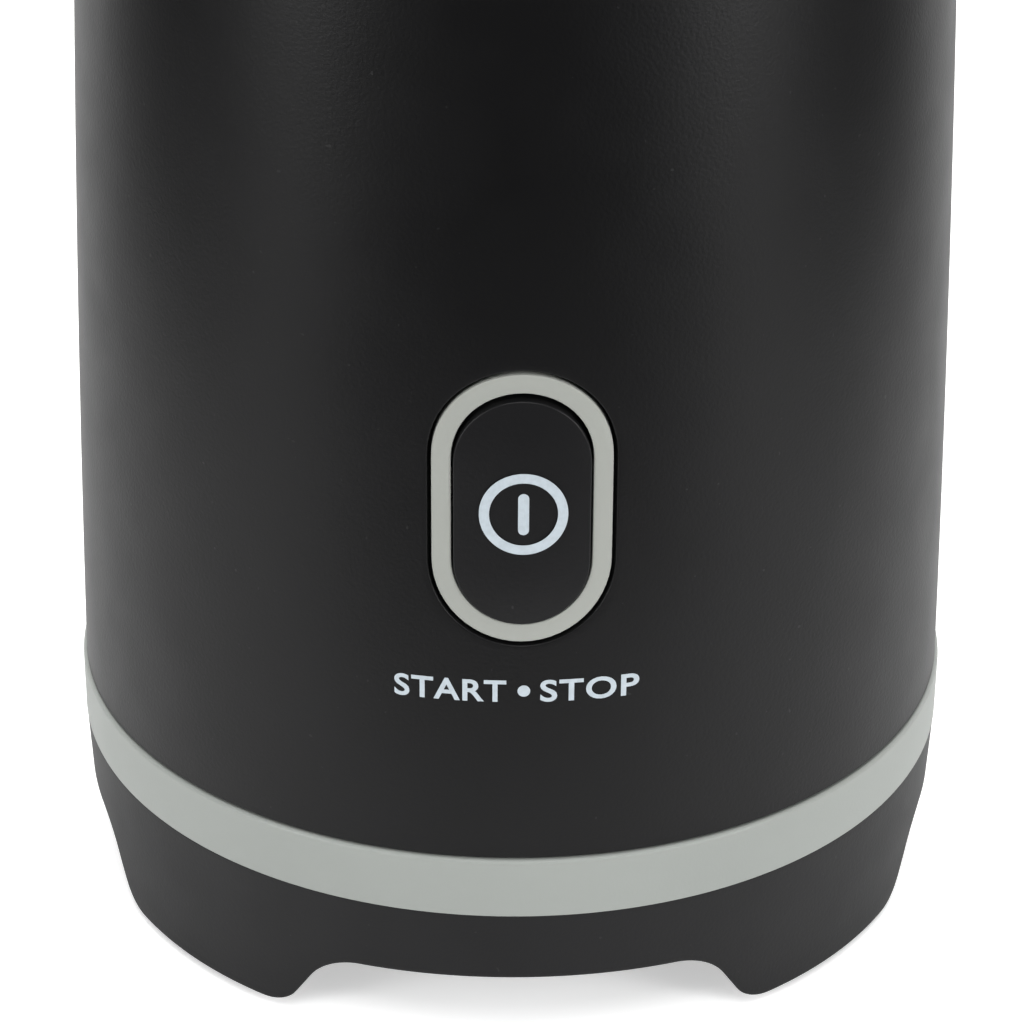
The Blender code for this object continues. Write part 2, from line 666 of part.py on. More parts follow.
def drive():
    shaft_hole = SHAFT_RADIUS + GAP
    profile = [
        (11.3 * MM, CARRIER_TOP),
        (11.3 * MM, CARRIER_BOTTOM),
        (3.4 * MM, CARRIER_BOTTOM),
        (3.4 * MM, 76.9 * MM),
        (shaft_hole, 76.9 * MM),
        (shaft_hole, CARRIER_TOP),
    ]
    carrier = turned("magnet_carrier", profile, "inner_plastic", MEDIUM)
    magnet_bottom = 79.9 * MM
    hole_radius = MAGNET_RADIUS + GAP
    for i, side in enumerate((-1, 1), 1):
        place = (side * MAGNET_CIRCLE, 0)
        hole_bottom = magnet_bottom - GAP
        hole = disc(f"cut_magnet_{i}", hole_radius, hole_bottom, 90 * MM, None, 16, place)
        boolean(carrier, hole)
        disc(f"drive_magnet_{i}", MAGNET_RADIUS, magnet_bottom, CARRIER_TOP, "steel", 16, place)
    disc("motor_shaft", SHAFT_RADIUS, 37.5 * MM, 81.8 * MM, "steel", SMALL)
    ring("armature", 9 * MM, shaft_hole, 47 * MM, 68 * MM, "dark_metal", MEDIUM)


def arc(radius, middle, half_angle, steps=8):
    angles = [middle + half_angle * (2 * i / steps - 1) for i in range(steps + 1)]
    return [(radius * math.cos(angle), radius * math.sin(angle)) for angle in angles]


def motor():
    inner = MOTOR_RADIUS - 1.2 * MM
    profile = [
        (5 * MM, MOTOR_TOP + 2 * MM),
        (5 * MM, MOTOR_TOP),
        (MOTOR_RADIUS - 0.8 * MM, MOTOR_TOP),
        (MOTOR_RADIUS, MOTOR_TOP - 0.8 * MM),
        (MOTOR_RADIUS, MOTOR_BOTTOM),
        (inner, MOTOR_BOTTOM),
        (inner, MOTOR_TOP - 1.2 * MM),
        (3.3 * MM, MOTOR_TOP - 1.2 * MM),
        (3.3 * MM, MOTOR_TOP + 2 * MM),
    ]
    can = turned("motor_can", profile, "dark_metal", MEDIUM)
    shaft_hole = SHAFT_RADIUS + GAP
    bush_bottom = MOTOR_TOP - 1.2 * MM
    bush_top = MOTOR_TOP + 1.8 * MM
    ring("motor_bush", 3 * MM, shaft_hole, bush_bottom, bush_top, "brass", 20)
    cap_profile = [
        (inner - GAP, MOTOR_BOTTOM + 1 * MM),
        (inner - GAP, MOTOR_BOTTOM - GAP),
        (MOTOR_RADIUS, MOTOR_BOTTOM - GAP),
        (MOTOR_RADIUS, 38.2 * MM),
        (4 * MM, 38.2 * MM),
        (4 * MM, 36.4 * MM),
        (shaft_hole, 36.4 * MM),
        (shaft_hole, MOTOR_BOTTOM + 1 * MM),
    ]
    turned("motor_end_cap", cap_profile, "cream_plastic", MEDIUM)
    for i, middle in enumerate((0, math.pi), 1):
        outline = arc(inner - GAP, middle, 1.1) + arc(9.6 * MM, middle, 1.1)[::-1]
        magnet = prism(f"field_magnet_{i}", [outline], -10 * MM, 10 * MM, "dark_metal")
        magnet.rotation_euler = (0, 0, 0)
        magnet.location = (0, 0, 57.5 * MM)
    plate = [
        (16.3 * MM, 74.5 * MM),
        (16.3 * MM, BRACKET_TOP),
        (44 * MM, BRACKET_TOP),
        (44 * MM, BRACKET_BOTTOM),
        (MOTOR_RADIUS + GAP, BRACKET_BOTTOM),
        (MOTOR_RADIUS + GAP, MOTOR_TOP + GAP),
        (6 * MM, MOTOR_TOP + GAP),
        (6 * MM, 76.2 * MM),
        (15.5 * MM, 76.2 * MM),
        (15.5 * MM, 74.5 * MM),
    ]
    bracket = turned("motor_bracket", plate, "inner_plastic", BIG)
    for i, side in enumerate((-1, 1), 1):
        place = (0, side * 9 * MM)
        hole = disc(f"cut_motor_screw_{i}", SMALL_HOLE_RADIUS, 70 * MM, 78 * MM, None, SMALL, place)
        boolean(bracket, hole)
        boolean(can, hole)
        screw(f"motor_screw_{i}", place, 76.5 * MM, 4.5 * MM, True, 2.1 * MM, SMALL_SHANK)
    for i, place in enumerate(bracket_screw_places(), 1):
        hole = disc(f"cut_bracket_{i}", SCREW_HOLE_RADIUS, 38 * MM, 44 * MM, None, SMALL, place)
        boolean(bracket, hole)
        screw(f"bracket_screw_{i}", place, BRACKET_BOTTOM - GAP, 6 * MM, False, 2.2 * MM)


def heat_shield():
    """A flat ring under the cup, cut straight at the front to clear the button's parts."""
    shield = ring("heat_shield", 31 * MM, 15.8 * MM, 74.8 * MM, 75.8 * MM, "steel", 32)
    low = (-20 * MM, -40 * MM, 70 * MM)
    high = (20 * MM, -28.6 * MM, 80 * MM)
    boolean(shield, box("cut_shield_front", low, high, None))


def heater():
    """A round tube under the cup's floor, open at the back, and the thermostat inside it."""
    steps = 24
    path = arc(HEATER_CIRCLE, -math.pi / 2, math.radians(160), steps)
    tube("heater_ring", [(x, y, HEATER_Z) for x, y in path], HEATER_TUBE, "steel")
    disc("thermostat", 5.5 * MM, 77 * MM, 82.9 * MM, "cream_plastic", MEDIUM, (0, 17.6 * MM))


def power_board():
    top = POWER_BOARD_Z + BOARD
    board = disc("power_board", 34 * MM, POWER_BOARD_Z, top, "board_green", 32)
    above = top + GAP
    for i, place in enumerate(post_places(), 1):
        hole = disc(f"cut_board_{i}", SCREW_HOLE_RADIUS, 27 * MM, 33 * MM, None, SMALL, place)
        boolean(board, hole)
        screw(f"power_board_screw_{i}", place, above, 7 * MM)
    edge = 0.5 * MM
    high = (-18 * MM, 18 * MM, above + 7.5 * MM)
    box("relay", (-31 * MM, 2 * MM, above), high, "inner_plastic", edge)
    high = (-4 * MM, 27 * MM, above + 7 * MM)
    box("terminal_block", (-16 * MM, 20 * MM, above), high, "cream_plastic", edge)
    disc("capacitor", 5 * MM, above, above + 8 * MM, "dark_metal", MEDIUM, (20 * MM, 12 * MM))


def gland():
    profile = [
        (6.7 * MM, -49.5 * MM),
        (6.7 * MM, -47.9 * MM),
        (4.7 * MM, -47.9 * MM),
        (4.7 * MM, -46.2 * MM),
        (6.2 * MM, -46.2 * MM),
        (6.2 * MM, -44.4 * MM),
        (4.7 * MM, -41 * MM),
        (GLAND_BORE, -41 * MM),
        (GLAND_BORE, -49.5 * MM),
    ]
    turned("cord_gland", profile[::-1], "rubber", MEDIUM, (0, 0, GLAND_Z), (math.pi / 2, 0, 0))


def lid():
    ledge = LID_TOP - 2.3 * MM
    profile = [
        (27 * MM, LID_TOP),
        (30.5 * MM, LID_TOP - 0.3 * MM),
        (36 * MM, LID_TOP - 1.6 * MM),
        (39.8 * MM, LID_TOP - 3.9 * MM),
        (41.7 * MM, LID_TOP - 7 * MM),
        (42.4 * MM, LID_TOP - 11 * MM),
        (42.5 * MM, LID_BOTTOM),
        (34.4 * MM, LID_BOTTOM),
        (34.4 * MM, 168.6 * MM),
        (32.8 * MM, 168.6 * MM),
        (32.8 * MM, 164.6 * MM),
        (34.4 * MM, 164.6 * MM),
        (34.4 * MM, 162.5 * MM),
        (31 * MM, 162.5 * MM),
        (31 * MM, 176 * MM),
        (24 * MM, 179.2 * MM),
        (24 * MM, ledge),
        (27 * MM, ledge),
    ]
    turned("lid_shell", profile, "black_plastic", BIG)
    seal = [
        (34.9 * MM, 168.2 * MM),
        (35.7 * MM, 167.2 * MM),
        (34.9 * MM, 166.4 * MM),
        (35.7 * MM, 165.6 * MM),
        (34.9 * MM, 164.9 * MM),
        (33.1 * MM, 164.9 * MM),
        (33.1 * MM, 168.2 * MM),
    ]
    turned("lid_seal", seal, "silicone", BIG)
    ring("lid_window", 26.7 * MM, 3.3 * MM, ledge + GAP, LID_TOP, "clear", BIG)
    knob_base = LID_TOP + GAP
    knob = [
        (0, KNOB_TOP),
        (6 * MM, KNOB_TOP - 0.4 * MM),
        (9.4 * MM, KNOB_TOP - 1.5 * MM),
        (10.8 * MM, KNOB_TOP - 3.4 * MM),
        (9.6 * MM, KNOB_TOP - 5.2 * MM),
        (6.6 * MM, KNOB_TOP - 7.6 * MM),
        (6.6 * MM, knob_base + 1.6 * MM),
        (8 * MM, knob_base),
        (3 * MM, knob_base),
        (3 * MM, 180.2 * MM),
        (1.6 * MM, 180.2 * MM),
        (1.6 * MM, 188 * MM),
        (0, 188.6 * MM),
    ]
    turned("lid_knob", knob, "black_plastic", MEDIUM)
    screw("knob_screw", (0, 0), 179.9 * MM, 7.2 * MM, False, 5 * MM)


def fasteners():
    for i, place in enumerate(cover_screw_places(), 1):
        screw(f"cover_screw_{i}", place, COVER_SEAT - GAP, 3.6 * MM, False, 2.5 * MM)


def main():
    start()
    housing()
    trim_band()
    base_skirt()
    foot_pads()
    bottom_cover()
    fasteners()
    button_ring()
    push_button()
    button_guide()
    button_electrics()
    cup()
    whisk()
    drive()
    motor()
    heat_shield()
    heater()
    power_board()
    gland()
    lid()


main()
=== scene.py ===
"""Looks of the milk frother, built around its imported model. Metres, +Z up, front facing -Y."""

import json
import math

import bmesh
import bpy
from mathutils import Matrix, Vector


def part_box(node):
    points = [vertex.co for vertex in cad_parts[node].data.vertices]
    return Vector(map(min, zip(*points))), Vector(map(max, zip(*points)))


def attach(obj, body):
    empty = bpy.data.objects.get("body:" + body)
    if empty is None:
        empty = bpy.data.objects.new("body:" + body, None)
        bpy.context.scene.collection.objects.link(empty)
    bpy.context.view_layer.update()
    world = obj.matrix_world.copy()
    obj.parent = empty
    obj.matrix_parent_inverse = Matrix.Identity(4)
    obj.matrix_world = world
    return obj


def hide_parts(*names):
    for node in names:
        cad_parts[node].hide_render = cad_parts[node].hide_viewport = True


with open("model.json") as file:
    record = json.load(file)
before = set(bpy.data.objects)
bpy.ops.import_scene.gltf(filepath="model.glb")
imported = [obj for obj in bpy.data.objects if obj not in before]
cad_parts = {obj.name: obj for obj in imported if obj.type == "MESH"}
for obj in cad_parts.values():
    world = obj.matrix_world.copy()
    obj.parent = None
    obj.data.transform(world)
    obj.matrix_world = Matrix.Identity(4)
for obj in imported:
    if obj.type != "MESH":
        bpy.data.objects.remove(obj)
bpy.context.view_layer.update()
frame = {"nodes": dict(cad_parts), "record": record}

MM = 0.001
TAU = 2 * math.pi

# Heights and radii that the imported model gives
BAND_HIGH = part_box("trim_band")[1]
SKIRT_LOW, SKIRT_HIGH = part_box("base_skirt")
RING_LOW, RING_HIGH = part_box("button_ring")
BAND_TOP = BAND_HIGH.z
BAND_RADIUS = BAND_HIGH.x
FOOT_BOTTOM = SKIRT_LOW.z
SKIRT_TOP = SKIRT_HIGH.z
HOUSING_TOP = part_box("housing")[1].z
BUTTON_Z = (RING_LOW.z + RING_HIGH.z) / 2
FOOT_PADS = ("foot_pad_1", "foot_pad_2", "foot_pad_3", "foot_pad_4")

# The housing's side: its radius falls from the band's top edge along a slight barrel curve
HOUSING_RADIUS = 49.17 * MM
HOUSING_TAPER = 0.0226
HOUSING_BARREL = 0.1477
WALL = 2.2 * MM
SPIGOT_RADIUS = 46.9 * MM
SPIGOT_BOTTOM = 14.5 * MM
SPIGOT_WALL = 2 * MM
MOUTH_RADIUS = 38.3 * MM  # of the opening that the cup hangs in
BRACKET_LEDGE = (43.0 * MM, 45.2 * MM)  # bottom and top of the ledge inside
BRACKET_LEDGE_RADIUS = 40 * MM
COLUMNS = 256  # of a turned surface, all round
WALL_ROWS = (26, 167, 2)  # of the housing's wall, in mm: the first, the end and the step
TOUCHING = 1e-9

# The button's slot and the gland's hole: half sizes, and the patch of the wall's grid round each
BUTTON_SLOT_HALF = (9.52 * MM, 15.17 * MM)
BUTTON_PATCH = (24, 46 * MM, 86 * MM)  # columns, lowest and highest row
GLAND_HOLE_HALF = (7.0 * MM, 7.0 * MM)
GLAND_PATCH = (14, 26 * MM, 42 * MM)
SLOT_FILLET = 0.15 * MM

# Band, base and its arches
BAND_INNER_RADIUS = SPIGOT_RADIUS + 0.3 * MM
FOOT_RADIUS = 48.7 * MM
FOOT_INNER_RADIUS = 38.0 * MM
FOOT_EDGE = 0.5 * MM
SKIRT_CHAMFER = 0.06 * MM
SKIRT_COLUMNS = 720
ARCH_RISE = 8.38 * MM  # at an arch's ends
ARCH_CROWN = 0.3 * MM  # how much higher its middle is
ARCH_FILLET = 6.6 * MM
ARCH_FOOT_FILLET = 4.4 * MM
ARCH_SLOPE = math.radians(60)
FRONT_ARCH_HALF = 23.2 * MM
SIDE_ARCH_HALF = 20.2 * MM

# Push button, symbol and legend; heights are above the housing's surface
RING_HALF = (9.07 * MM, 14.72 * MM)
RING_WALL = 2.0 * MM
RING_PROUD = -0.08 * MM
RING_DEPTH = 5.5 * MM
FACE_HEIGHT = 0.12 * MM
CAP_HALF = (RING_HALF[0] - RING_WALL - 0.18 * MM, RING_HALF[1] - RING_WALL - 0.42 * MM)
CAP_DROP = 0.36 * MM  # how far the button hangs below the ring's middle
CAP_DEPTH = 5.2 * MM
SYMBOL_CENTRE = (0.13 * MM, BUTTON_Z - 0.28 * MM)
SYMBOL_RADII = (3.43 * MM, 4.45 * MM)
SYMBOL_BAR_HALF = (0.55 * MM, 2.26 * MM)
LEGEND_Z = 44.95 * MM
LEGEND_HEIGHT = 2.55 * MM
LEGEND_WORDS = (("START", -13.04 * MM, -1.49 * MM), ("STOP", 1.96 * MM, 12.24 * MM))
LEGEND_DOT = (0.30 * MM, 44.98 * MM)
DOT_RADIUS = 0.65 * MM
INK_LIFT = 0.02 * MM

# Cup and whisk
CUP_RADIUS = 36 * MM
CUP_WALL = 0.8 * MM
CUP_FLOOR_Z = 84 * MM
CUP_FILLET = 6 * MM
CUP_RIM_Z = 170.2 * MM
CUP_RIM_RADIUS = 41.4 * MM
SEAL_INNER_RADIUS = 38.6 * MM
FILL_LINES = (("fill_line_low", 124 * MM), ("fill_line_high", 150 * MM))
FILL_LINE_PROUD = 0.3 * MM
COIL_Z = 89.0 * MM
COIL_MAJOR = 13.5 * MM
COIL_MINOR = 1.95 * MM
COIL_WIRE = 0.42 * MM
COIL_CORE = 0.5 * MM
COILS = 44

# Bottom cover
COVER_THICKNESS = 2.2 * MM
COVER_SCREW_CIRCLE = 34.4 * MM
COVER_SCREW_HOLE = 1.6 * MM
COVER_SCREW_SEAT = (2.9 * MM, 1.3 * MM)  # radius and depth
COVER_POST_CIRCLE = 26.5 * MM
VENTS = 5
VENT_PITCH = 5 * MM
VENT_HALF = (0.9 * MM, 9.0 * MM)

# Camera: it looks down on the front from a little to the left
CAMERA_TILT = 0.4939
CAMERA_ROLL = 0.0069
CAMERA_TURN = math.radians(-1.25)
CAMERA_DISTANCE = 0.400
CAMERA_AIM = Vector((0.00003, 0, 0.03945))
FOCAL_PIXELS = 3488.7
IMAGE_PIXELS = 1024
SENSOR_MM = 36

# Floor and room
FLOOR_FRONT = -0.15
FLOOR_BACK = 0.45
FLOOR_SIDE = 0.23
FLOOR_CORNER = 0.03
FLOOR_THICKNESS = 0.004
FLOOR_LIFT = 0.45  # makes the shadows on it paler to the camera, and lights nothing
# The room's light by how far back it comes from: 0 is straight in front, 1 straight behind
ROOM_LEVELS = ((0.0, 0.01), (0.35, 0.01), (0.6, 0.02), (0.75, 0.3), (0.85, 1.7), (1.0, 2.1))
LIGHTS = (  # name, place, target, size and watts
    ("left_box", (-0.46, -0.35, 0.19), (0, 0, 0.10), (0.15, 0.34), 2.0),
    ("right_box", (0.46, -0.35, 0.19), (0, 0, 0.10), (0.15, 0.34), 2.35),
    ("top_box", (0, 0.05, 0.8), (0, 0.02, 0), (0.6, 0.5), 5.0),
    ("front_box", (0, -0.55, 0.80), (0, 0, 0.05), (0.5, 0.3), 3.4),
)

# A colour mix node's sockets, which share their names with those of its other kinds
MIX_FIRST, MIX_SECOND, MIX_RESULT = 6, 7, 2


def housing_radius(z):
    height = z - BAND_TOP
    return HOUSING_RADIUS - HOUSING_TAPER * height - HOUSING_BARREL * height**2


def round_the_axis(angle, radius, z):
    """A point at an angle from the front, positive towards +X."""
    return Vector((radius * math.sin(angle), -radius * math.cos(angle), z))


# -------------------- materials


class Nodes:
    """A material's nodes, made one at a time and wired by their sockets' names."""

    def __init__(self, name, colour, roughness, metallic=0.0):
        self.material = bpy.data.materials.new(name)
        self.material.use_nodes = True
        self.tree = self.material.node_tree
        self.shader = self.tree.nodes["Principled BSDF"]
        self.set("Base Color", (*colour, 1.0))
        self.set("Roughness", roughness)
        self.set("Metallic", metallic)
        self.place = self.add("ShaderNodeTexCoord").outputs["Object"]

    def set(self, socket, value):
        self.shader.inputs[socket].default_value = value

    def add(self, kind, **settings):
        node = self.tree.nodes.new(kind)
        for name, value in settings.items():
            if name in node.inputs:
                node.inputs[name].default_value = value
            else:
                setattr(node, name, value)
        return node

    def wire(self, source, target):
        self.tree.links.new(source, target)

    def drive(self, socket, source):
        self.wire(source, self.shader.inputs[socket])

    def noise(self, scale, detail=4.0, stretch=(1, 1, 1)):
        """Noise whose features are about 1 / scale metres, stretched by a factor on each axis."""
        mapping = self.add("ShaderNodeMapping")
        mapping.inputs["Scale"].default_value = stretch
        self.wire(self.place, mapping.inputs["Vector"])
        noise = self.add("ShaderNodeTexNoise", Scale=scale, Detail=detail)
        self.wire(mapping.outputs["Vector"], noise.inputs["Vector"])
        return noise.outputs["Fac"]

    def spread(self, source, low, high, from_low=0.3, from_high=0.7):
        """The source's middle values, spread over low to high."""
        ranged = self.add("ShaderNodeMapRange")
        ranged.inputs["From Min"].default_value = from_low
        ranged.inputs["From Max"].default_value = from_high
        ranged.inputs["To Min"].default_value = low
        ranged.inputs["To Max"].default_value = high
        self.wire(source, ranged.inputs["Value"])
        return ranged.outputs["Result"]

    def colours(self, source, *stops):
        """A colour ramp over (position, colour) stops."""
        ramp = self.add("ShaderNodeValToRGB")
        ramp.color_ramp.elements[0].position = stops[0][0]
        ramp.color_ramp.elements[0].color = (*stops[0][1], 1)
        ramp.color_ramp.elements[1].position = stops[-1][0]
        ramp.color_ramp.elements[1].color = (*stops[-1][1], 1)
        for position, colour in stops[1:-1]:
            ramp.color_ramp.elements.new(position).color = (*colour, 1)
        self.wire(source, ramp.inputs["Fac"])
        return ramp.outputs["Color"]

    def bump(self, source, distance, strength=1.0, under=None):
        bump = self.add("ShaderNodeBump", Distance=distance, Strength=strength)
        self.wire(source, bump.inputs["Height"])
        if under:
            self.wire(under, bump.inputs["Normal"])
        self.drive("Normal", bump.outputs["Normal"])
        return bump.outputs["Normal"]


def shade(colour, factor):
    return tuple(c * factor for c in colour)


def moulded_plastic(
    name, colour, roughness, grain=0.02 * MM, grain_scale=2600, level=0.22, uneven=0.12, dusty=0.86
):
    """Moulded plastic: a fine even grain, slightly uneven gloss and a few pale dust specks."""
    n = Nodes(name, colour, roughness)
    n.set("Specular IOR Level", level)
    mottle = n.noise(55, 3)
    specks = n.noise(1700, 0)
    blotch = n.colours(mottle, (0.35, shade(colour, 1 - uneven)), (0.65, shade(colour, 1 + uneven)))
    dust = n.colours(specks, (0.0, (0, 0, 0)), (dusty, (0, 0, 0)), (dusty + 0.02, (1, 1, 1)))
    mix = n.add("ShaderNodeMix", data_type="RGBA")
    n.wire(dust, mix.inputs["Factor"])
    n.wire(blotch, mix.inputs[MIX_FIRST])
    mix.inputs[MIX_SECOND].default_value = (*[c * 1.25 + 0.012 for c in colour], 1)
    n.drive("Base Color", mix.outputs[MIX_RESULT])
    gloss = n.noise(140, 5)
    n.drive("Roughness", n.spread(gloss, roughness - 0.02, roughness + 0.02))
    fine = n.bump(n.noise(grain_scale, 2), grain)
    n.bump(n.noise(260, 2), 0.006 * MM, 0.6, fine)
    return n.material


def brushed_metal(name, colour, roughness, stretch=(1, 1, 60), scale=900):
    """Brushed metal: fine lines in the tone, the gloss and the surface."""
    n = Nodes(name, colour, roughness, 1.0)
    lines = n.noise(scale, 4, stretch)
    tone = n.colours(lines, (0.3, shade(colour, 0.9)), (0.7, shade(colour, 1.08)))
    n.drive("Base Color", tone)
    n.drive("Roughness", n.spread(lines, roughness - 0.06, roughness + 0.08))
    n.bump(lines, 0.004 * MM, 0.5)
    return n.material


def soft_rubber(name, colour, roughness=0.75):
    """Rubber or silicone: clouded in colour and gloss, with a fine skin."""
    n = Nodes(name, colour, roughness)
    cloud = n.noise(120, 4)
    tone = n.colours(cloud, (0.3, shade(colour, 0.85)), (0.7, shade(colour, 1.2)))
    n.drive("Base Color", tone)
    n.drive("Roughness", n.spread(cloud, roughness - 0.06, roughness + 0.06))
    n.bump(n.noise(1800, 3), 0.02 * MM)
    return n.material


def clear_plastic(name):
    """Clear moulded plastic, very slightly wavy."""
    n = Nodes(name, (0.93, 0.95, 0.96), 0.06)
    n.set("Transmission Weight", 1.0)
    n.set("IOR", 1.49)
    n.drive("Roughness", n.spread(n.noise(90, 3), 0.03, 0.09))
    n.bump(n.noise(35, 1), 0.01 * MM, 0.3)
    return n.material


def printed_ink(name, colour):
    """Pad-printed ink: slightly uneven, with a fine texture from the plastic below it."""
    n = Nodes(name, colour, 0.5)
    cover = n.noise(1500, 3)
    tone = n.colours(cover, (0.3, shade(colour, 0.9)), (0.6, colour))
    n.drive("Base Color", tone)
    n.bump(n.noise(2600, 2), 0.015 * MM)
    return n.material


def circuit_board(name):
    """Solder mask over tracks, as cells with raised edges."""
    n = Nodes(name, (0.03, 0.16, 0.08), 0.4)
    tracks = n.add("ShaderNodeTexVoronoi", Scale=420.0, feature="DISTANCE_TO_EDGE")
    n.wire(n.place, tracks.inputs["Vector"])
    edges = tracks.outputs["Distance"]
    tone = n.colours(edges, (0.0, (0.06, 0.26, 0.12)), (0.08, (0.03, 0.15, 0.07)))
    n.drive("Base Color", tone)
    n.bump(edges, 0.03 * MM)
    return n.material


BLACK = moulded_plastic("satin_black", (0.004, 0.004, 0.0043), 0.42, 0.024 * MM, level=0.2)
SKIRT_BLACK = moulded_plastic("base_black", (0.006, 0.006, 0.0065), 0.5)
GREY = moulded_plastic(
    "warm_grey", (0.285, 0.301, 0.284), 0.45, 0.010 * MM, level=0.3, uneven=0.015, dusty=0.93
)
RING_GREY = moulded_plastic(
    "ring_grey", (0.322, 0.332, 0.308), 0.45, 0.010 * MM, level=0.3, uneven=0.02, dusty=0.93
)
BUTTON_BLACK = moulded_plastic("button_black", (0.006, 0.006, 0.0065), 0.42, 0.025 * MM, 2200)
INNER = moulded_plastic("inner_plastic", (0.07, 0.07, 0.075), 0.6)
CREAM = moulded_plastic("natural_nylon", (0.62, 0.58, 0.47), 0.5)
CUP_STEEL = brushed_metal("cup_steel", (0.62, 0.62, 0.61), 0.24, (6, 6, 60), 320)
SCREW_STEEL = brushed_metal("screw_steel", (0.50, 0.50, 0.50), 0.32, (1, 1, 1), 2400)
DARK_METAL = brushed_metal("dark_metal", (0.16, 0.16, 0.17), 0.42)
BRASS = brushed_metal("sintered_brass", (0.60, 0.42, 0.18), 0.45, (1, 1, 1), 3000)
SILICONE = soft_rubber("silicone", (0.17, 0.18, 0.18), 0.55)
RUBBER = soft_rubber("black_rubber", (0.018, 0.018, 0.018))
CLEAR = clear_plastic("clear_window")
INK = printed_ink("pale_ink", (0.47, 0.53, 0.575))
BOARD = circuit_board("board_green")

SLOT_LOOKS = {
    "black_plastic": BLACK,
    "grey_plastic": GREY,
    "button_plastic": BUTTON_BLACK,
    "inner_plastic": INNER,
    "steel": SCREW_STEEL,
    "dark_metal": DARK_METAL,
    "brass": BRASS,
    "silicone": SILICONE,
    "rubber": RUBBER,
    "clear": CLEAR,
    "board_green": BOARD,
    "cream_plastic": CREAM,
}


def dress_cad_nodes():
    """Every CAD node gets its slot's procedural material."""
    for row in frame["record"]["subparts"]:
        node = frame["nodes"][row["node"]]
        node.data.materials.clear()
        node.data.materials.append(SLOT_LOOKS[row["material_slot"]])


# -------------------- mesh building


def piece(name, bm, look, body, slot_name, *replaced, sharp=35):
    """Makes the mesh an object that rides on a body and stands for CAD nodes."""
    bmesh.ops.remove_doubles(bm, verts=bm.verts, dist=0.000001)
    bmesh.ops.recalc_face_normals(bm, faces=bm.faces)
    mesh = bpy.data.meshes.new(name)
    bm.to_mesh(mesh)
    bm.free()
    mesh.materials.append(look)
    mesh.shade_smooth()
    mesh.set_sharp_from_angle(angle=math.radians(sharp))
    obj = bpy.data.objects.new(name, mesh)
    bpy.context.scene.collection.objects.link(obj)
    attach(obj, body)
    if replaced:
        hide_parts(*replaced)
    return obj


def thicken(bm, shift):
    """Gives flat faces a thickness: a moved copy of them, and walls between."""
    made = bmesh.ops.extrude_face_region(bm, geom=bm.faces[:], use_keep_orig=True)
    moved = [v for v in made["geom"] if isinstance(v, bmesh.types.BMVert)]
    bmesh.ops.translate(bm, vec=shift, verts=moved)


def rounded(*corners, closed=True, steps=5):
    """An outline through (a, b) or (a, b, fillet radius) corners, with the fillets as arcs."""
    points = []
    count = len(corners)
    for i, corner in enumerate(corners):
        here = Vector(corner[:2])
        radius = corner[2] if len(corner) > 2 else 0
        if not radius or (not closed and i in (0, count - 1)):
            points.append(tuple(here))
            continue
        before = (Vector(corners[i - 1][:2]) - here).normalized()
        after = (Vector(corners[(i + 1) % count][:2]) - here).normalized()
        half = before.angle(after) / 2
        centre = here + (before + after).normalized() * (radius / math.sin(half))
        reach = radius / math.tan(half)
        start = here + before * reach - centre
        end = here + after * reach - centre
        for k in range(steps + 1):
            mixed = start.slerp(end, k / steps)
            points.append(tuple(centre + mixed.normalized() * radius))
    return points


def rectangle(left, right, low, high, fillets):
    """A rectangle's outline from its low left corner round, with a fillet at each corner."""
    corners = ((left, low), (right, low), (right, high), (left, high))
    return rounded(*[(*corner, fillet) for corner, fillet in zip(corners, fillets)])


def quads(bm, rows, wrap_row=True, wrap_rows=True, skip=None):
    """Quads over rows of vertices; skip(i, j) leaves out the quad after row i and column j."""
    last_row = len(rows) if wrap_rows else len(rows) - 1
    last_column = len(rows[0]) if wrap_row else len(rows[0]) - 1
    for i in range(last_row):
        for j in range(last_column):
            if skip and skip(i, j):
                continue
            upper = rows[i]
            lower = rows[(i + 1) % len(rows)]
            k = (j + 1) % len(upper)
            bm.faces.new((upper[j], upper[k], lower[k], lower[j]))


def lathe(profile, columns=COLUMNS, closed=True, centre=(0, 0)):
    """A turned surface through (radius, z) points; on an open profile the ends lie on the axis."""
    bm = bmesh.new()
    axis = Vector((*centre, 0))
    angles = [TAU * j / columns for j in range(columns)]
    rows = [
        [bm.verts.new(round_the_axis(angle, radius, z) + axis) for angle in angles]
        for radius, z in profile
    ]
    quads(bm, rows, wrap_rows=closed)
    return bm


def mm(*points):
    """Points given in millimetres, with any fillet radius, in metres."""
    return [tuple(value * MM for value in point) for point in points]


def mm_heights(first, last, step):
    return [z * MM for z in range(first, last, step)]


def smooth(points, steps):
    """More points on a smooth curve through the given (a, b) points."""
    ends = [points[0]] + list(points) + [points[-1]]
    out = []
    for i in range(1, len(points)):
        before, here, there, after = (Vector(p) for p in ends[i - 1 : i + 3])
        for k in range(steps):
            t = k / steps
            out.append(
                tuple(
                    0.5
                    * (
                        2 * here
                        + (there - before) * t
                        + (2 * before - 5 * here + 4 * there - after) * t**2
                        + (3 * here - before - 3 * there + after) * t**3
                    )
                )
            )
    return out + [tuple(points[-1])]


def cut(obj, *cutters):
    """Takes the cutters' meshes out of an object's mesh."""
    for cutter in cutters:
        change = obj.modifiers.new("cut", "BOOLEAN")
        change.object = cutter
        change.solver = "EXACT"
        bpy.context.view_layer.update()
        graph = bpy.context.evaluated_depsgraph_get()
        mesh = bpy.data.meshes.new_from_object(obj.evaluated_get(graph))
        obj.modifiers.clear()
        obj.data = mesh
        bpy.data.objects.remove(cutter)


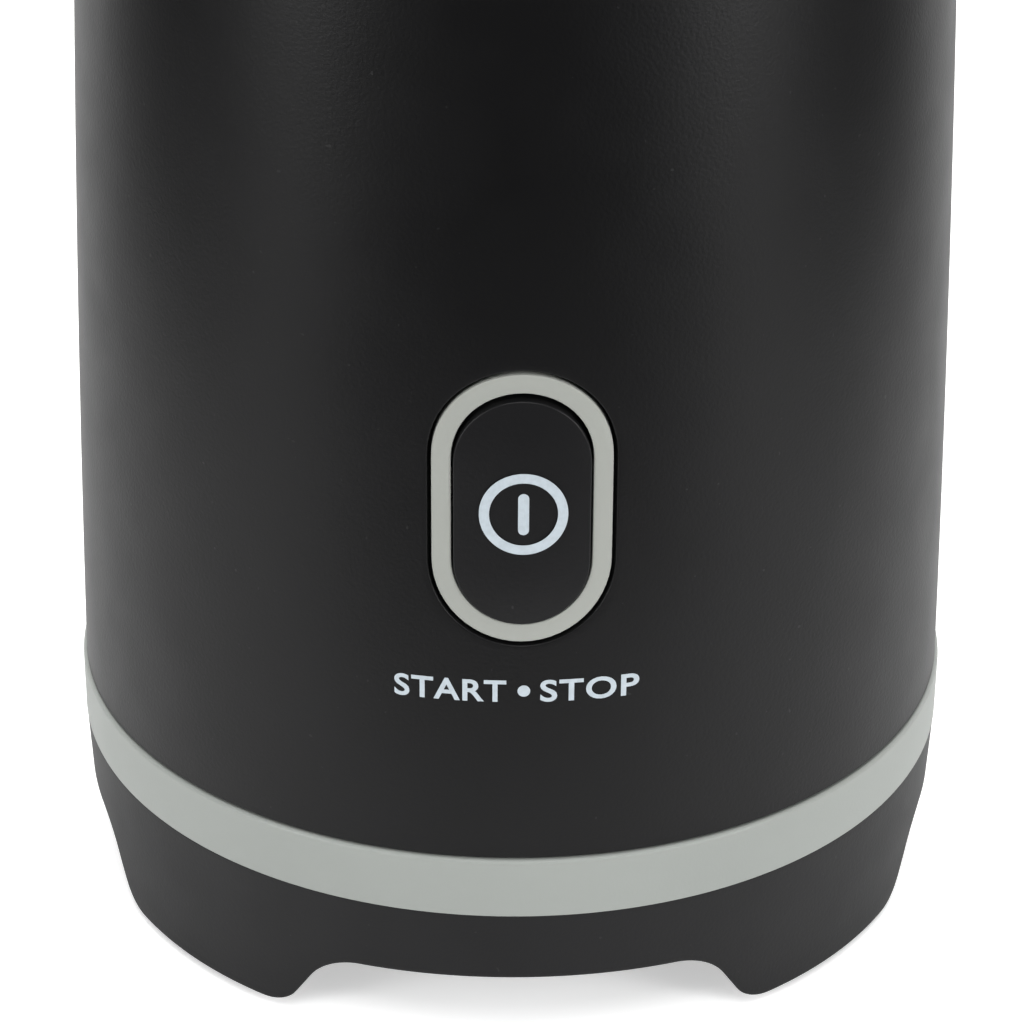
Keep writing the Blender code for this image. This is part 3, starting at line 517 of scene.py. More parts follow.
def cutter(bm):
    bmesh.ops.recalc_face_normals(bm, faces=bm.faces)
    mesh = bpy.data.meshes.new("cutter")
    bm.to_mesh(mesh)
    bm.free()
    obj = bpy.data.objects.new("cutter", mesh)
    bpy.context.scene.collection.objects.link(obj)
    return obj


def disc_cutter(radius, low, high, x, y):
    bm = bmesh.new()
    bmesh.ops.create_cone(
        bm, cap_ends=True, segments=48, radius1=radius, radius2=radius, depth=high - low
    )
    bmesh.ops.translate(bm, vec=(x, y, (low + high) / 2), verts=bm.verts)
    return cutter(bm)


# -------------------- slots in the housing


def slot_distance(x, z, half_width, half_length):
    """How far a point lies outside an upright slot with round ends."""
    straight = half_length - half_width
    return math.hypot(x, max(abs(z) - straight, 0)) - half_width


def slot_edge(direction, half_width, half_length, offset):
    """The point in a direction from a slot's centre that lies offset outside its edge."""
    near, far = 0.0, 3 * half_length
    dx, dz = math.cos(direction), math.sin(direction)
    for _ in range(40):
        middle = (near + far) / 2
        if slot_distance(dx * middle, dz * middle, half_width, half_length) < offset:
            near = middle
        else:
            far = middle
    return dx * near, dz * near


class Hole:
    """A slot through the housing's wall, in a patch of the wall's grid of columns and rows."""

    def __init__(self, angle, z, half, patch, sections):
        self.angle = angle
        self.z = z
        self.half = half
        columns, self.low_z, self.high_z = patch
        middle = round(angle / TAU * COLUMNS)
        self.first = middle - columns // 2
        self.last = middle + columns // 2
        self.sections = sections  # (offset outside the slot's edge, depth under the surface)

    def holds(self, j, low, high):
        """Whether the patch holds the wall's quad in column j between two heights."""
        in_column = any(self.first <= j + turn < self.last for turn in (0, COLUMNS, -COLUMNS))
        return in_column and low > self.low_z - TOUCHING and high < self.high_z + TOUCHING

    def perimeter(self, heights):
        """The grid places (column, z) round the patch, anticlockwise from its right side."""
        low, high = self.low_z - TOUCHING, self.high_z + TOUCHING
        inside = sorted(z for z in heights if low <= z <= high)
        right = [(self.last, z) for z in inside]
        top = [(j, inside[-1]) for j in range(self.last - 1, self.first, -1)]
        left = [(self.first, z) for z in reversed(inside)]
        bottom = [(j, inside[0]) for j in range(self.first + 1, self.last)]
        return right + top + left + bottom

    def ring(self, bm, places, depth):
        """Vertices at (x, z) places from the slot's centre, a depth under the surface."""
        return [
            bm.verts.new(surface_point(self.angle, x, self.z + z, depth)) for x, z in places
        ]

    def fill(self, bm, heights, walls):
        """Faces from the patch's outer rim to the slot's edge, through the wall, and back."""
        rim = self.perimeter(heights)
        places = [
            ((TAU * j / COLUMNS - self.angle) * housing_radius(z), z - self.z) for j, z in rim
        ]
        directions = [math.atan2(z, x) for x, z in places]

        def edge(offset):
            return [slot_edge(direction, *self.half, offset) for direction in directions]

        rings = [[walls["outer"][row_name(z)][j % COLUMNS] for j, z in rim]]
        steps = 7
        first = edge(self.sections[0][0])
        for k in range(1, steps):
            share = (k / steps) ** 0.85
            between = [
                (x + (ex - x) * share, z + (ez - z) * share)
                for (x, z), (ex, ez) in zip(places, first)
            ]
            rings.append(self.ring(bm, between, 0))
        for offset, depth in self.sections + [(self.sections[-1][0], WALL)]:
            rings.append(self.ring(bm, edge(offset), depth))
        rings.append([walls["inner"][row_name(z)][j % COLUMNS] for j, z in rim])
        quads(bm, rings, wrap_rows=False)


def row_name(z):
    return round(z / MM, 3)


def surface_point(angle, x, z, depth):
    """A point beside a centre angle, x along the surface and depth under it."""
    radius = housing_radius(z)
    return round_the_axis(angle + x / radius, radius - depth, z)


def housing_profile(heights):
    """The shell's section as (radius, z): down the outside, round the spigot and up inside."""
    bottom = BAND_TOP + 0.3 * MM
    side, spigot_inner = housing_radius(bottom), SPIGOT_RADIUS - SPIGOT_WALL
    ledge_low, ledge_high = BRACKET_LEDGE

    def inside(z):
        return housing_radius(z) - WALL, z

    outer = [(housing_radius(z), z) for z in reversed(heights)]
    inner_low = [inside(z) for z in heights if z < ledge_low - 0.5 * MM]
    inner = [inside(z) for z in heights if z > ledge_high + 0.3 * MM]
    top = rounded(
        (MOUTH_RADIUS, HOUSING_TOP - WALL),
        (MOUTH_RADIUS, HOUSING_TOP, 0.3 * MM),
        (housing_radius(HOUSING_TOP), HOUSING_TOP, 1.2 * MM),
        outer[0],
        closed=False,
    )
    spigot = [
        (side, bottom + 0.15 * MM),
        (side - 0.15 * MM, bottom),
        (SPIGOT_RADIUS, bottom),
        (SPIGOT_RADIUS, SPIGOT_BOTTOM),
        (spigot_inner, SPIGOT_BOTTOM),
        (spigot_inner, bottom),
    ]
    ledge = [
        inside(ledge_low),
        (BRACKET_LEDGE_RADIUS, ledge_low),
        (BRACKET_LEDGE_RADIUS, ledge_high),
        inside(ledge_high),
    ]
    return top[:-1] + outer + spigot + inner_low + ledge + inner


def wall_of(radius, z):
    """Which of the wall's two surfaces a point of the profile lies on, if it does."""
    depth = housing_radius(z) - radius
    if abs(depth) < TOUCHING:
        return "outer"
    return "inner" if abs(depth - WALL) < TOUCHING else None


def housing():
    """The shell with its button slot and its gland hole, both with rounded edges."""
    gland_low, gland_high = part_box("cord_gland")
    gland_z = (gland_low.z + gland_high.z) / 2
    turns = [math.pi / 2 * k / 6 for k in range(7)]
    edge = [(SLOT_FILLET * (1 - math.sin(a)), SLOT_FILLET * (1 - math.cos(a))) for a in turns]
    button_sections = edge + [(0, 1.2 * MM)]
    gland_sections = edge + [(0, 1.3 * MM), (-2 * MM, 1.32 * MM)]
    holes = [
        Hole(0.0, BUTTON_Z, BUTTON_SLOT_HALF, BUTTON_PATCH, button_sections),
        Hole(math.pi, gland_z, GLAND_HOLE_HALF, GLAND_PATCH, gland_sections),
    ]
    heights = mm_heights(*WALL_ROWS)
    profile = housing_profile(heights)
    sides = [wall_of(radius, z) for radius, z in profile]
    bm = bmesh.new()
    walls = {"outer": {}, "inner": {}}
    rows = []
    angles = [TAU * j / COLUMNS for j in range(COLUMNS)]
    for (radius, z), side in zip(profile, sides):
        row = [bm.verts.new(round_the_axis(angle, radius, z)) for angle in angles]
        rows.append(row)
        if side:
            walls[side][row_name(z)] = row

    def in_a_hole(i, j):
        following = (i + 1) % len(profile)
        if not sides[i] or sides[i] != sides[following]:
            return False
        low, high = sorted((profile[i][1], profile[following][1]))
        return any(hole.holds(j, low, high) for hole in holes)

    quads(bm, rows, skip=in_a_hole)
    for hole in holes:
        hole.fill(bm, heights, walls)
    piece("housing_shell", bm, BLACK, "base", "black_plastic", "housing")


# -------------------- band and base


def trim_band():
    """The grey band, which covers the seams above and below it."""
    bottom, top = SKIRT_TOP + 0.03 * MM, BAND_TOP + 0.12 * MM
    fillets = (0, 0.06 * MM, 0.42 * MM, 0)
    profile = rectangle(BAND_INNER_RADIUS, BAND_RADIUS, bottom, top, fillets)
    piece("trim_band_ring", lathe(profile), GREY, "base", "grey_plastic", "trim_band")


def arch_height(across, half_width):
    """How high an arch's edge is above the feet's bottom, at a distance from its middle."""
    sweep = ARCH_FILLET * math.sin(ARCH_SLOPE)
    foot_sweep = ARCH_FOOT_FILLET * math.sin(ARCH_SLOPE)
    drop = ARCH_FILLET * (1 - math.cos(ARCH_SLOPE))
    lift = ARCH_FOOT_FILLET * (1 - math.cos(ARCH_SLOPE))
    run = (ARCH_RISE - drop - lift) / math.tan(ARCH_SLOPE)
    top_start = half_width - run / 2 - sweep
    past_top = across - top_start
    if past_top <= 0:
        return ARCH_RISE + ARCH_CROWN * (1 - (across / top_start) ** 2)
    if past_top < sweep:
        return ARCH_RISE - ARCH_FILLET + math.sqrt(ARCH_FILLET**2 - past_top**2)
    if past_top < sweep + run:
        return ARCH_RISE - drop - (past_top - sweep) * math.tan(ARCH_SLOPE)
    before_end = sweep + run + foot_sweep - past_top
    if before_end > 0:
        return ARCH_FOOT_FILLET - math.sqrt(ARCH_FOOT_FILLET**2 - before_end**2)
    return 0.0


def underside(radius, angle):
    """The height of the base's lower edge at a radius and an angle from the front."""
    x, y = abs(radius * math.sin(angle)), abs(radius * math.cos(angle))
    return FOOT_BOTTOM + max(arch_height(x, FRONT_ARCH_HALF), arch_height(y, SIDE_ARCH_HALF))


def base_skirt():
    """The base, whose lower edge follows the four arches, with a rounded outer edge."""
    top_radius = BAND_RADIUS - 0.03 * MM
    ledge_in, ledge_low, ledge_high = 31.0 * MM, 12.1 * MM, 14.2 * MM
    shoulder = SKIRT_TOP - SKIRT_CHAMFER

    def outer_radius(z):
        share = (z - FOOT_BOTTOM) / (SKIRT_TOP - FOOT_BOTTOM)
        return FOOT_RADIUS + (top_radius - FOOT_RADIUS) * share

    sections = []
    for j in range(SKIRT_COLUMNS):
        angle = TAU * j / SKIRT_COLUMNS
        edge_top = underside(FOOT_RADIUS, angle) + FOOT_EDGE
        column = [
            (BAND_INNER_RADIUS, SKIRT_TOP),
            (outer_radius(SKIRT_TOP) - SKIRT_CHAMFER, SKIRT_TOP),
            (outer_radius(shoulder), shoulder),
        ]
        for k in range(1, 9):
            z = shoulder + (edge_top - shoulder) * k / 8
            column.append((outer_radius(z), z))
        corner = outer_radius(edge_top)
        for k in range(1, 6):
            turn = math.pi / 2 * k / 5
            radius = corner - FOOT_EDGE * (1 - math.cos(turn))
            z = underside(radius, angle) + FOOT_EDGE * (1 - math.sin(turn))
            column.append((radius, z))
        flat = corner - FOOT_EDGE
        for k in range(1, 7):
            radius = flat + (FOOT_INNER_RADIUS - flat) * k / 6
            column.append((radius, underside(radius, angle)))
        column += [
            (FOOT_INNER_RADIUS, ledge_low),
            (ledge_in, ledge_low),
            (ledge_in, ledge_high),
            (BAND_INNER_RADIUS, ledge_high),
        ]
        sections.append([(angle, *point) for point in column])
    bm = bmesh.new()
    rows = [
        [bm.verts.new(round_the_axis(angle, radius, z)) for angle, radius, z in level]
        for level in zip(*sections)
    ]
    quads(bm, rows)
    body = piece("base_body", bm, SKIRT_BLACK, "base", "black_plastic", "base_skirt")
    for pad in FOOT_PADS:
        low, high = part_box(pad)
        x, y, radius = (low.x + high.x) / 2, (low.y + high.y) / 2, (high.x - low.x) / 2
        cut(body, disc_cutter(radius + 0.25 * MM, -1 * MM, high.z + 0.25 * MM, x, y))


def foot_pads():
    """Rubber pads with a rounded rim and a shallow round groove in the face."""
    for pad in FOOT_PADS:
        low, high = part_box(pad)
        radius = (high.x - low.x) / 2
        profile = rounded(
            (0, high.z),
            (radius, high.z, 0.2 * MM),
            (radius, 0, 0.45 * MM),
            (0.72 * radius, 0, 0.15 * MM),
            (0.66 * radius, 0.25 * MM, 0.15 * MM),
            (0.54 * radius, 0.25 * MM, 0.15 * MM),
            (0.48 * radius, 0, 0.15 * MM),
            (0, 0),
            closed=False,
        )
        centre = ((low.x + high.x) / 2, (low.y + high.y) / 2)
        bm = lathe(profile, 64, False, centre)
        piece(pad + "_rubber", bm, RUBBER, "base", "rubber", pad)


# -------------------- button


def on_housing(bm, outline, height):
    """Vertices at (x, z) places in front, a height straight out of the housing's surface."""
    out = Vector((0, -height, 0))
    return [bm.verts.new(surface_point(0, x, z, 0) + out) for x, z in outline]


def circle(radius, x, z, steps):
    angles = [TAU * k / steps for k in range(steps)]
    return [(x + radius * math.cos(a), z + radius * math.sin(a)) for a in angles]


def obround(half_width, half_length, arc_steps, side_steps=1):
    """An upright slot's outline about (0, 0), with points along its straight sides."""
    straight = half_length - half_width
    outline = []
    for end in (1, -1):
        for k in range(arc_steps + 1):
            angle = math.pi * k / arc_steps + (0 if end == 1 else math.pi)
            x, z = half_width * math.cos(angle), half_width * math.sin(angle)
            outline.append((x, end * straight + z))
        for k in range(1, side_steps):
            outline.append((-end * half_width, end * straight * (1 - 2 * k / side_steps)))
    return outline


def slot_ring(bm, half, inset, height, centre=(0, BUTTON_Z), steps=(28, 14)):
    """Vertices round an upright slot in front, inset from its outline, at a height."""
    outline = obround(half[0] - inset, half[1] - inset, *steps)
    return on_housing(bm, [(centre[0] + x, centre[1] + z) for x, z in outline], height)


def button_ring():
    """The grey ring, about level with the housing round it."""
    section = rounded(
        (0, -RING_DEPTH),
        (0, RING_PROUD, 0.1 * MM),
        (RING_WALL, RING_PROUD - 0.03 * MM, 0.12 * MM),
        (RING_WALL, -RING_DEPTH),
    )
    bm = bmesh.new()
    quads(bm, [slot_ring(bm, RING_HALF, inset, height) for inset, height in section])
    piece("button_ring_lip", bm, RING_GREY, "base", "grey_plastic", "button_ring")


def button_cap():
    """The push button: it hangs low in its ring, with a gap above it, and is closed behind."""
    section = rounded(
        (CAP_HALF[0], -CAP_DEPTH),
        (0, -CAP_DEPTH),
        (0, FACE_HEIGHT, 0.15 * MM),
        (CAP_HALF[0], FACE_HEIGHT),
        closed=False,
    )
    bm = bmesh.new()
    centre = (0, BUTTON_Z - CAP_DROP)
    rows = [slot_ring(bm, CAP_HALF, inset, height, centre) for inset, height in section]
    quads(bm, rows, wrap_rows=False)
    bmesh.ops.remove_doubles(bm, verts=bm.verts, dist=0.000005)
    piece("button_face", bm, BUTTON_BLACK, "button", "button_plastic", "button_cap")


def power_symbol():
    """A closed circle and an upright bar, as a thin layer of ink on the button."""
    low, high = FACE_HEIGHT - 0.01 * MM, FACE_HEIGHT + 0.03 * MM
    inner, outer = SYMBOL_RADII
    bm = bmesh.new()
    rows = []
    for radius, height in ((inner, low), (inner, high), (outer, high), (outer, low)):
        rows.append(on_housing(bm, circle(radius, *SYMBOL_CENTRE, 96), height))
    quads(bm, rows)
    middle = SYMBOL_BAR_HALF[0]
    rows = []
    for inset, height in ((middle, low), (0, low), (0, high), (middle, high)):
        rows.append(slot_ring(bm, SYMBOL_BAR_HALF, inset, height, SYMBOL_CENTRE, (12, 8)))
    quads(bm, rows, wrap_rows=False)
    piece("power_symbol", bm, INK, "button", "button_plastic")


def word(bm, letters, left, right):
    """Adds a flat word that spans left to right, wrapped onto the housing."""
    font = bpy.data.curves.new("word", "FONT")
    font.body = letters
    font.resolution_u = 6
    font.space_character = 1.08
    font.offset = 0.02
    text = bpy.data.objects.new("word", font)
    bpy.context.scene.collection.objects.link(text)
    bpy.context.view_layer.update()
    graph = bpy.context.evaluated_depsgraph_get()
    flat = bpy.data.meshes.new_from_object(text.evaluated_get(graph))
    bpy.data.objects.remove(text)
    part = bmesh.new()
    part.from_mesh(flat)
    bmesh.ops.remove_doubles(part, verts=part.verts, dist=0.0001)
    xs = [v.co.x for v in part.verts]
    ys = [v.co.y for v in part.verts]
    low_x, low_y = min(xs), min(ys)
    width, height = max(xs) - low_x, max(ys) - low_y
    thicken(part, Vector((0, 0, 1)))
    made = {}
    for v in part.verts:
        x = left + (right - left) * (v.co.x - low_x) / width
        z = LEGEND_Z + LEGEND_HEIGHT * ((v.co.y - low_y) / height - 0.5)
        made[v] = on_housing(bm, [(x, z)], INK_LIFT if v.co.z > 0.5 else -INK_LIFT)[0]
    for face in part.faces:
        bm.faces.new([made[v] for v in face.verts])
    part.free()


def legend():
    """A generic legend below the button: two words and a dot of ink on the housing."""
    bm = bmesh.new()
    for letters, left, right in LEGEND_WORDS:
        word(bm, letters, left, right)
    rows = []
    for radius, side in ((0, -1), (DOT_RADIUS, -1), (DOT_RADIUS, 1), (0, 1)):
        rows.append(on_housing(bm, circle(radius, *LEGEND_DOT, 32), side * INK_LIFT))
    quads(bm, rows, wrap_rows=False)
    piece("legend", bm, INK, "base", "black_plastic", sharp=30)


# -------------------- lid


def lid():
    """The domed lid with its plug, the clear window and the seal."""
    dome = smooth(
        mm(
            (27.6, 183.96), (30.5, 183.7), (36, 182.4), (39.8, 180.1), (41.7, 177),
            (42.4, 173.6), (42.5, 171.4),
        ),
        6,
    )
    profile = mm((27, 181.7), (27, 183.6), (27.12, 183.84), (27.3, 183.93)) + dome
    profile += rounded(
        *mm(
            (42.5, 171.2), (42.5, 170.6, 0.4), (34.4, 170.6, 0.3), (34.4, 168.6, 0.2),
            (32.8, 168.6), (32.8, 164.6), (34.4, 164.6, 0.25), (34.4, 162.5, 0.5),
            (31, 162.5, 0.5), (31, 176, 2.0), (24, 179.2, 0.6), (24, 181.7, 0.2),
            (27, 181.7),
        ),
        closed=False,
    )[1:-1]
    piece("lid_dome", lathe(profile), BLACK, "lid", "black_plastic", "lid_shell")
    low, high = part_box("lid_window")
    hole = 3.3 * MM  # for the knob's foot
    fillets = (0.15 * MM, 0.2 * MM, 0.3 * MM, 0.15 * MM)
    window = rectangle(hole, high.x, low.z, high.z, fillets)
    piece("lid_window_pane", lathe(window, 128), CLEAR, "lid", "clear", "lid_window")
    seal = rounded(
        *mm(
            (33.1, 168.2), (34.9, 168.2, 0.2), (35.7, 167.2, 0.25), (34.9, 166.4, 0.25),
            (35.7, 165.6, 0.25), (34.9, 164.9, 0.2), (33.1, 164.9),
        )
    )
    piece("lid_seal_ring", lathe(seal, 192), SILICONE, "lid", "silicone", "lid_seal")


def knob():
    """The knob: a waist, a rounded grip with a shallow dish on top, and a grey inlay."""
    outside = smooth(
        mm(
            (3.9, 195.55), (6.2, 195.85), (8.0, 195.9), (9.6, 195.1), (10.6, 193.8),
            (10.75, 192.5), (10.0, 191.2), (8.3, 189.8), (7.0, 188.3), (6.6, 186.9),
            (6.9, 185.6), (7.9, 184.6),
        ),
        5,
    )
    inside = mm((7.9, 184.3), (3, 184.3), (3, 180.2), (1.6, 180.2), (1.6, 188), (0, 188.6))
    profile = mm((0, 195.2), (3.5, 195.2), (3.7, 195.4)) + outside + inside
    piece("lid_knob_grip", lathe(profile, 128, False), BLACK, "lid", "black_plastic", "lid_knob")
    inlay = rounded(*mm((0, 195.45), (3.4, 195.45, 0.15), (3.4, 195.22), (0, 195.22)), closed=False)
    piece("lid_knob_inlay", lathe(inlay, 96, False), GREY, "lid", "grey_plastic")


# -------------------- cup, whisk and seals


def fill_line(name, z):
    """A low rib on the cup's back wall, which fades out into it at its ends."""
    root, crest = CUP_RADIUS + 0.05 * MM, CUP_RADIUS - FILL_LINE_PROUD
    section = rounded(
        (root, z - 0.6 * MM),
        (crest, z - 0.35 * MM, 0.15 * MM),
        (crest, z + 0.35 * MM, 0.15 * MM),
        (root, z + 0.6 * MM),
        steps=4,
    )
    half, steps = math.radians(24), 48
    bm = bmesh.new()
    rows = []
    for across, height in section:
        row = []
        for k in range(steps + 1):
            swing = 2 * k / steps - 1
            out = root + (across - root) * (1 - swing**8)
            row.append(bm.verts.new(round_the_axis(math.pi + half * swing, out, height)))
        rows.append(row)
    quads(bm, rows, wrap_row=False)
    for end in (0, -1):
        bm.faces.new([row[end] for row in rows])
    piece(name, bm, CUP_STEEL, "base", "steel")


def cup():
    """The drawn steel cup: a rolled rim, a curved foot, two raised fill lines and its seal."""
    steps = 12
    turns = [math.pi / 2 * k / steps for k in range(steps + 1)]

    def foot(radius, bottom):
        """The curve from the floor to the side, a radius round the foot's centre."""
        middle = CUP_RADIUS - CUP_FILLET
        return [
            (middle + radius * math.sin(a), bottom + radius * (1 - math.cos(a))) for a in turns
        ]

    inside = foot(CUP_FILLET, CUP_FLOOR_Z)
    under_z = CUP_FLOOR_Z - CUP_WALL
    outside = foot(CUP_FILLET + CUP_WALL, under_z)
    sides = [(CUP_RADIUS, CUP_FLOOR_Z + z) for z in mm_heights(12, 80, 4)]
    outer = CUP_RADIUS + CUP_WALL
    rim = rounded(
        (CUP_RADIUS, CUP_RIM_Z - 3 * MM),
        (CUP_RADIUS, CUP_RIM_Z, 1.2 * MM),
        (CUP_RIM_RADIUS, CUP_RIM_Z, 0.38 * MM),
        (CUP_RIM_RADIUS, CUP_RIM_Z - CUP_WALL, 0.38 * MM),
        (outer, CUP_RIM_Z - CUP_WALL, 1.0 * MM),
        (outer, CUP_RIM_Z - 4 * MM),
        closed=False,
        steps=7,
    )
    floor_radii = (0, CUP_RADIUS / 3, CUP_RADIUS * 0.6)
    profile = [(radius, CUP_FLOOR_Z) for radius in floor_radii] + inside + sides + rim
    profile += outside[::-1] + [(CUP_RADIUS * 0.6, under_z), (0, under_z)]
    piece("cup_liner", lathe(profile, 192, False), CUP_STEEL, "base", "steel", "cup")
    for name, z in FILL_LINES:
        fill_line(name, z)
    low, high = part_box("cup_seal")
    fillets = (0.2 * MM, 0.3 * MM, 0.3 * MM, 0.2 * MM)
    seal = rectangle(SEAL_INNER_RADIUS, high.x, low.z, high.z, fillets)
    piece("cup_seal_ring", lathe(seal, 192), SILICONE, "base", "silicone", "cup_seal")


def whisk_wire():
    """One closed wire, wound round and round a ring."""
    per_coil, sides = 14, 8
    up = Vector((0, 0, 1))
    bm = bmesh.new()
    rings = []
    for i in range(COILS * per_coil):
        along = TAU * i / (COILS * per_coil)
        winding = TAU * i / per_coil
        out = Vector((math.cos(along), math.sin(along), 0))
        spoke = out * math.cos(winding) + up * math.sin(winding)
        middle = out * COIL_MAJOR + up * COIL_Z + spoke * COIL_MINOR
        tangent = (up * math.cos(winding) - out * math.sin(winding)) * COIL_MINOR * COILS
        tangent += up.cross(out) * (COIL_MAJOR + COIL_MINOR * math.cos(winding))
        tangent.normalize()
        aside = tangent.cross(spoke).normalized()
        ring = []
        for k in range(sides):
            angle = TAU * k / sides
            reach = (spoke * math.cos(angle) + aside * math.sin(angle)) * COIL_WIRE
            ring.append(bm.verts.new(middle + reach))
        rings.append(ring)
    quads(bm, rings)
    piece("whisk_wire", bm, SCREW_STEEL, "whisk", "steel", "whisk_coil", sharp=60)


def whisk():
    """The whisk: a coil of fine wire bent into a ring, the hub that carries it, and the post."""
    whisk_wire()
    core = circle(COIL_CORE, COIL_MAJOR, COIL_Z, 16)
    piece("whisk_core", lathe(core, 96), SCREW_STEEL, "whisk", "steel")
    flank = smooth(
        mm(
            (1.4, 104.85), (3.0, 104.4), (4.0, 103.2), (3.9, 101), (3.6, 98), (4.2, 94.4),
            (6.6, 92.3), (9.8, 91.45),
        ),
        5,
    )
    skirt = rounded(
        *mm(
            (10.0, 91.4), (10.8, 91.4, 0.5), (10.8, 86.3, 0.4), (2.3, 86.3, 0.3),
            (2.3, 97.6), (0, 98.4),
        ),
        closed=False,
    )
    hub = lathe(mm((0, 104.95)) + flank + skirt, 96, False)
    piece("whisk_hub_body", hub, INNER, "whisk", "inner_plastic", "whisk_hub")
    post = rounded(
        *mm((0, 97), (2, 97, 0.9), (2, 85.1, 0.5), (5, 85.1, 0.3), (5, 84.3, 0.2), (0, 84.3)),
        closed=False,
        steps=8,
    )
    piece("whisk_pin", lathe(post, 64, False), CUP_STEEL, "base", "steel", "whisk_post")


# -------------------- gland, cover and screws


def gland():
    """The cord gland at the back: a domed flange, a bellied sleeve and an open bore."""
    low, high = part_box("cord_gland")
    centre_z = (low.z + high.z) / 2
    profile = rounded(
        *mm(
            (6.7, 49.5, 0.6), (6.7, 47.9, 0.2), (4.7, 47.9), (4.7, 46.2), (6.2, 46.2, 0.3),
            (6.2, 44.4, 0.5), (4.7, 41, 0.3), (3.2, 41, 0.3), (3.2, 49.5, 0.9),
        )
    )
    bm = lathe(profile, 96)
    bmesh.ops.rotate(bm, matrix=Matrix.Rotation(-math.pi / 2, 3, "X"), verts=bm.verts)
    bmesh.ops.translate(bm, vec=(0, 0, centre_z), verts=bm.verts)
    piece("cord_gland_sleeve", bm, RUBBER, "base", "rubber", "cord_gland")


def prism_cutter(outline, levels, x=0, y=0):
    """A cutter through (z, scale) levels of a flat outline about (x, y)."""
    bm = bmesh.new()
    rings = []
    for z, scale in levels:
        rings.append([bm.verts.new((x + a * scale, y + b * scale, z)) for a, b in outline])
    quads(bm, rings, wrap_rows=False)
    bm.faces.new(rings[0])
    bm.faces.new(rings[-1])
    return cutter(bm)


def cross_cutter(size, depth, face_z, x, y):
    """A cross-shaped recess that narrows with depth, opening downwards."""
    half = size * 0.16
    arm = [(half, size), (-half, size), (-half, half)]
    arms = []
    for _ in range(4):
        arms += arm
        arm = [(-b, a) for a, b in arm]
    levels = ((face_z - 0.5 * MM, 1.0), (face_z, 1.0), (face_z + depth, 0.55))
    return prism_cutter(arms, levels, x, y)


def screws():
    """The bottom cover's four screws and the knob's screw, heads down, with cross recesses."""
    shank, head_height = 1.3 * MM, 1.5 * MM
    heads = [(f"cover_screw_{i}", "base", 2.5 * MM) for i in (1, 2, 3, 4)]
    heads.append(("knob_screw", "lid", 5.0 * MM))
    for name, body, head in heads:
        low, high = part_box(name)
        x, y = (low.x + high.x) / 2, (low.y + high.y) / 2
        face, seat = low.z, low.z + head_height
        profile = rounded(
            (0, high.z),
            (shank, high.z - 0.8 * MM),
            (shank, seat, 0.1 * MM),
            (head, seat, 0.1 * MM),
            (head, seat - head_height * 0.4, 0.3 * MM),
            (head * 0.75, face, 0.5 * MM),
            (0, face),
            closed=False,
        )
        bm = lathe(profile, 48, False, (x, y))
        obj = piece(name + "_steel", bm, SCREW_STEEL, body, "steel", name)
        cut(obj, cross_cutter(head * 0.52, 1.0 * MM, face, x, y))
        obj.data.set_sharp_from_angle(angle=math.radians(30))


def bottom_cover():
    """The bottom cover: rounded rim, vent slots with rounded ends, sunk screw seats and posts."""
    low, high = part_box("bottom_cover")
    top = low.z + COVER_THICKNESS
    groove = low.z + 0.5 * MM
    profile = rounded(
        (0, top),
        (high.x, top, 0.3 * MM),
        (high.x, low.z, 0.5 * MM),
        (30.0 * MM, low.z, 0.2 * MM),
        (29.6 * MM, groove, 0.2 * MM),
        (29.0 * MM, groove, 0.2 * MM),
        (28.6 * MM, low.z, 0.2 * MM),
        (0, low.z),
        closed=False,
        steps=3,
    )
    plate = lathe(profile, 192, False)
    obj = piece("bottom_cover_plate", plate, INNER, "base", "inner_plastic", "bottom_cover")
    below, above = low.z - 1 * MM, top + 1 * MM
    seat_radius, seat_depth = COVER_SCREW_SEAT
    for i in range(4):
        place = round_the_axis(math.radians(45 + 90 * i), COVER_SCREW_CIRCLE, 0)
        cut(
            obj,
            disc_cutter(COVER_SCREW_HOLE, below, above, place.x, place.y),
            disc_cutter(seat_radius, below, low.z + seat_depth, place.x, place.y),
        )
    for i in range(VENTS):
        x = (i - VENTS // 2) * VENT_PITCH
        cut(obj, prism_cutter(obround(*VENT_HALF, 12), ((below, 1), (above, 1)), x))
    for i in range(3):
        place = round_the_axis(math.radians(60 + 120 * i), COVER_POST_CIRCLE, 0)
        post = rounded(
            (1.6 * MM, top - 0.2 * MM),
            (3.2 * MM, top - 0.2 * MM),
            (3.0 * MM, high.z, 0.2 * MM),
            (1.6 * MM, high.z, 0.2 * MM),
        )
        name = f"cover_post_{i + 1}"
        piece(name, lathe(post, 48, True, (place.x, place.y)), INNER, "base", "inner_plastic")
    obj.data.set_sharp_from_angle(angle=math.radians(30))


# -------------------- stage


def camera():
    """The camera at the photograph's angle."""
    forward = Vector((0, math.cos(CAMERA_TILT), -math.sin(CAMERA_TILT)))
    right = Vector((1, 0, 0))
    up = right.cross(forward)
    rolled_right = right * math.cos(CAMERA_ROLL) + up * math.sin(CAMERA_ROLL)
    rolled_up = up * math.cos(CAMERA_ROLL) - right * math.sin(CAMERA_ROLL)
    place = CAMERA_AIM - forward * CAMERA_DISTANCE
    turn = Matrix.Rotation(CAMERA_TURN, 4, "Z")
    axes = Matrix((rolled_right, rolled_up, -forward)).transposed().to_4x4()
    data = bpy.data.cameras.new("camera")
    data.sensor_width = SENSOR_MM
    data.lens = FOCAL_PIXELS / IMAGE_PIXELS * SENSOR_MM
    data.clip_start = 0.01
    obj = bpy.data.objects.new("camera", data)
    bpy.context.scene.collection.objects.link(obj)
    obj.matrix_world = turn @ Matrix.Translation(place) @ axes
    bpy.context.scene.camera = obj


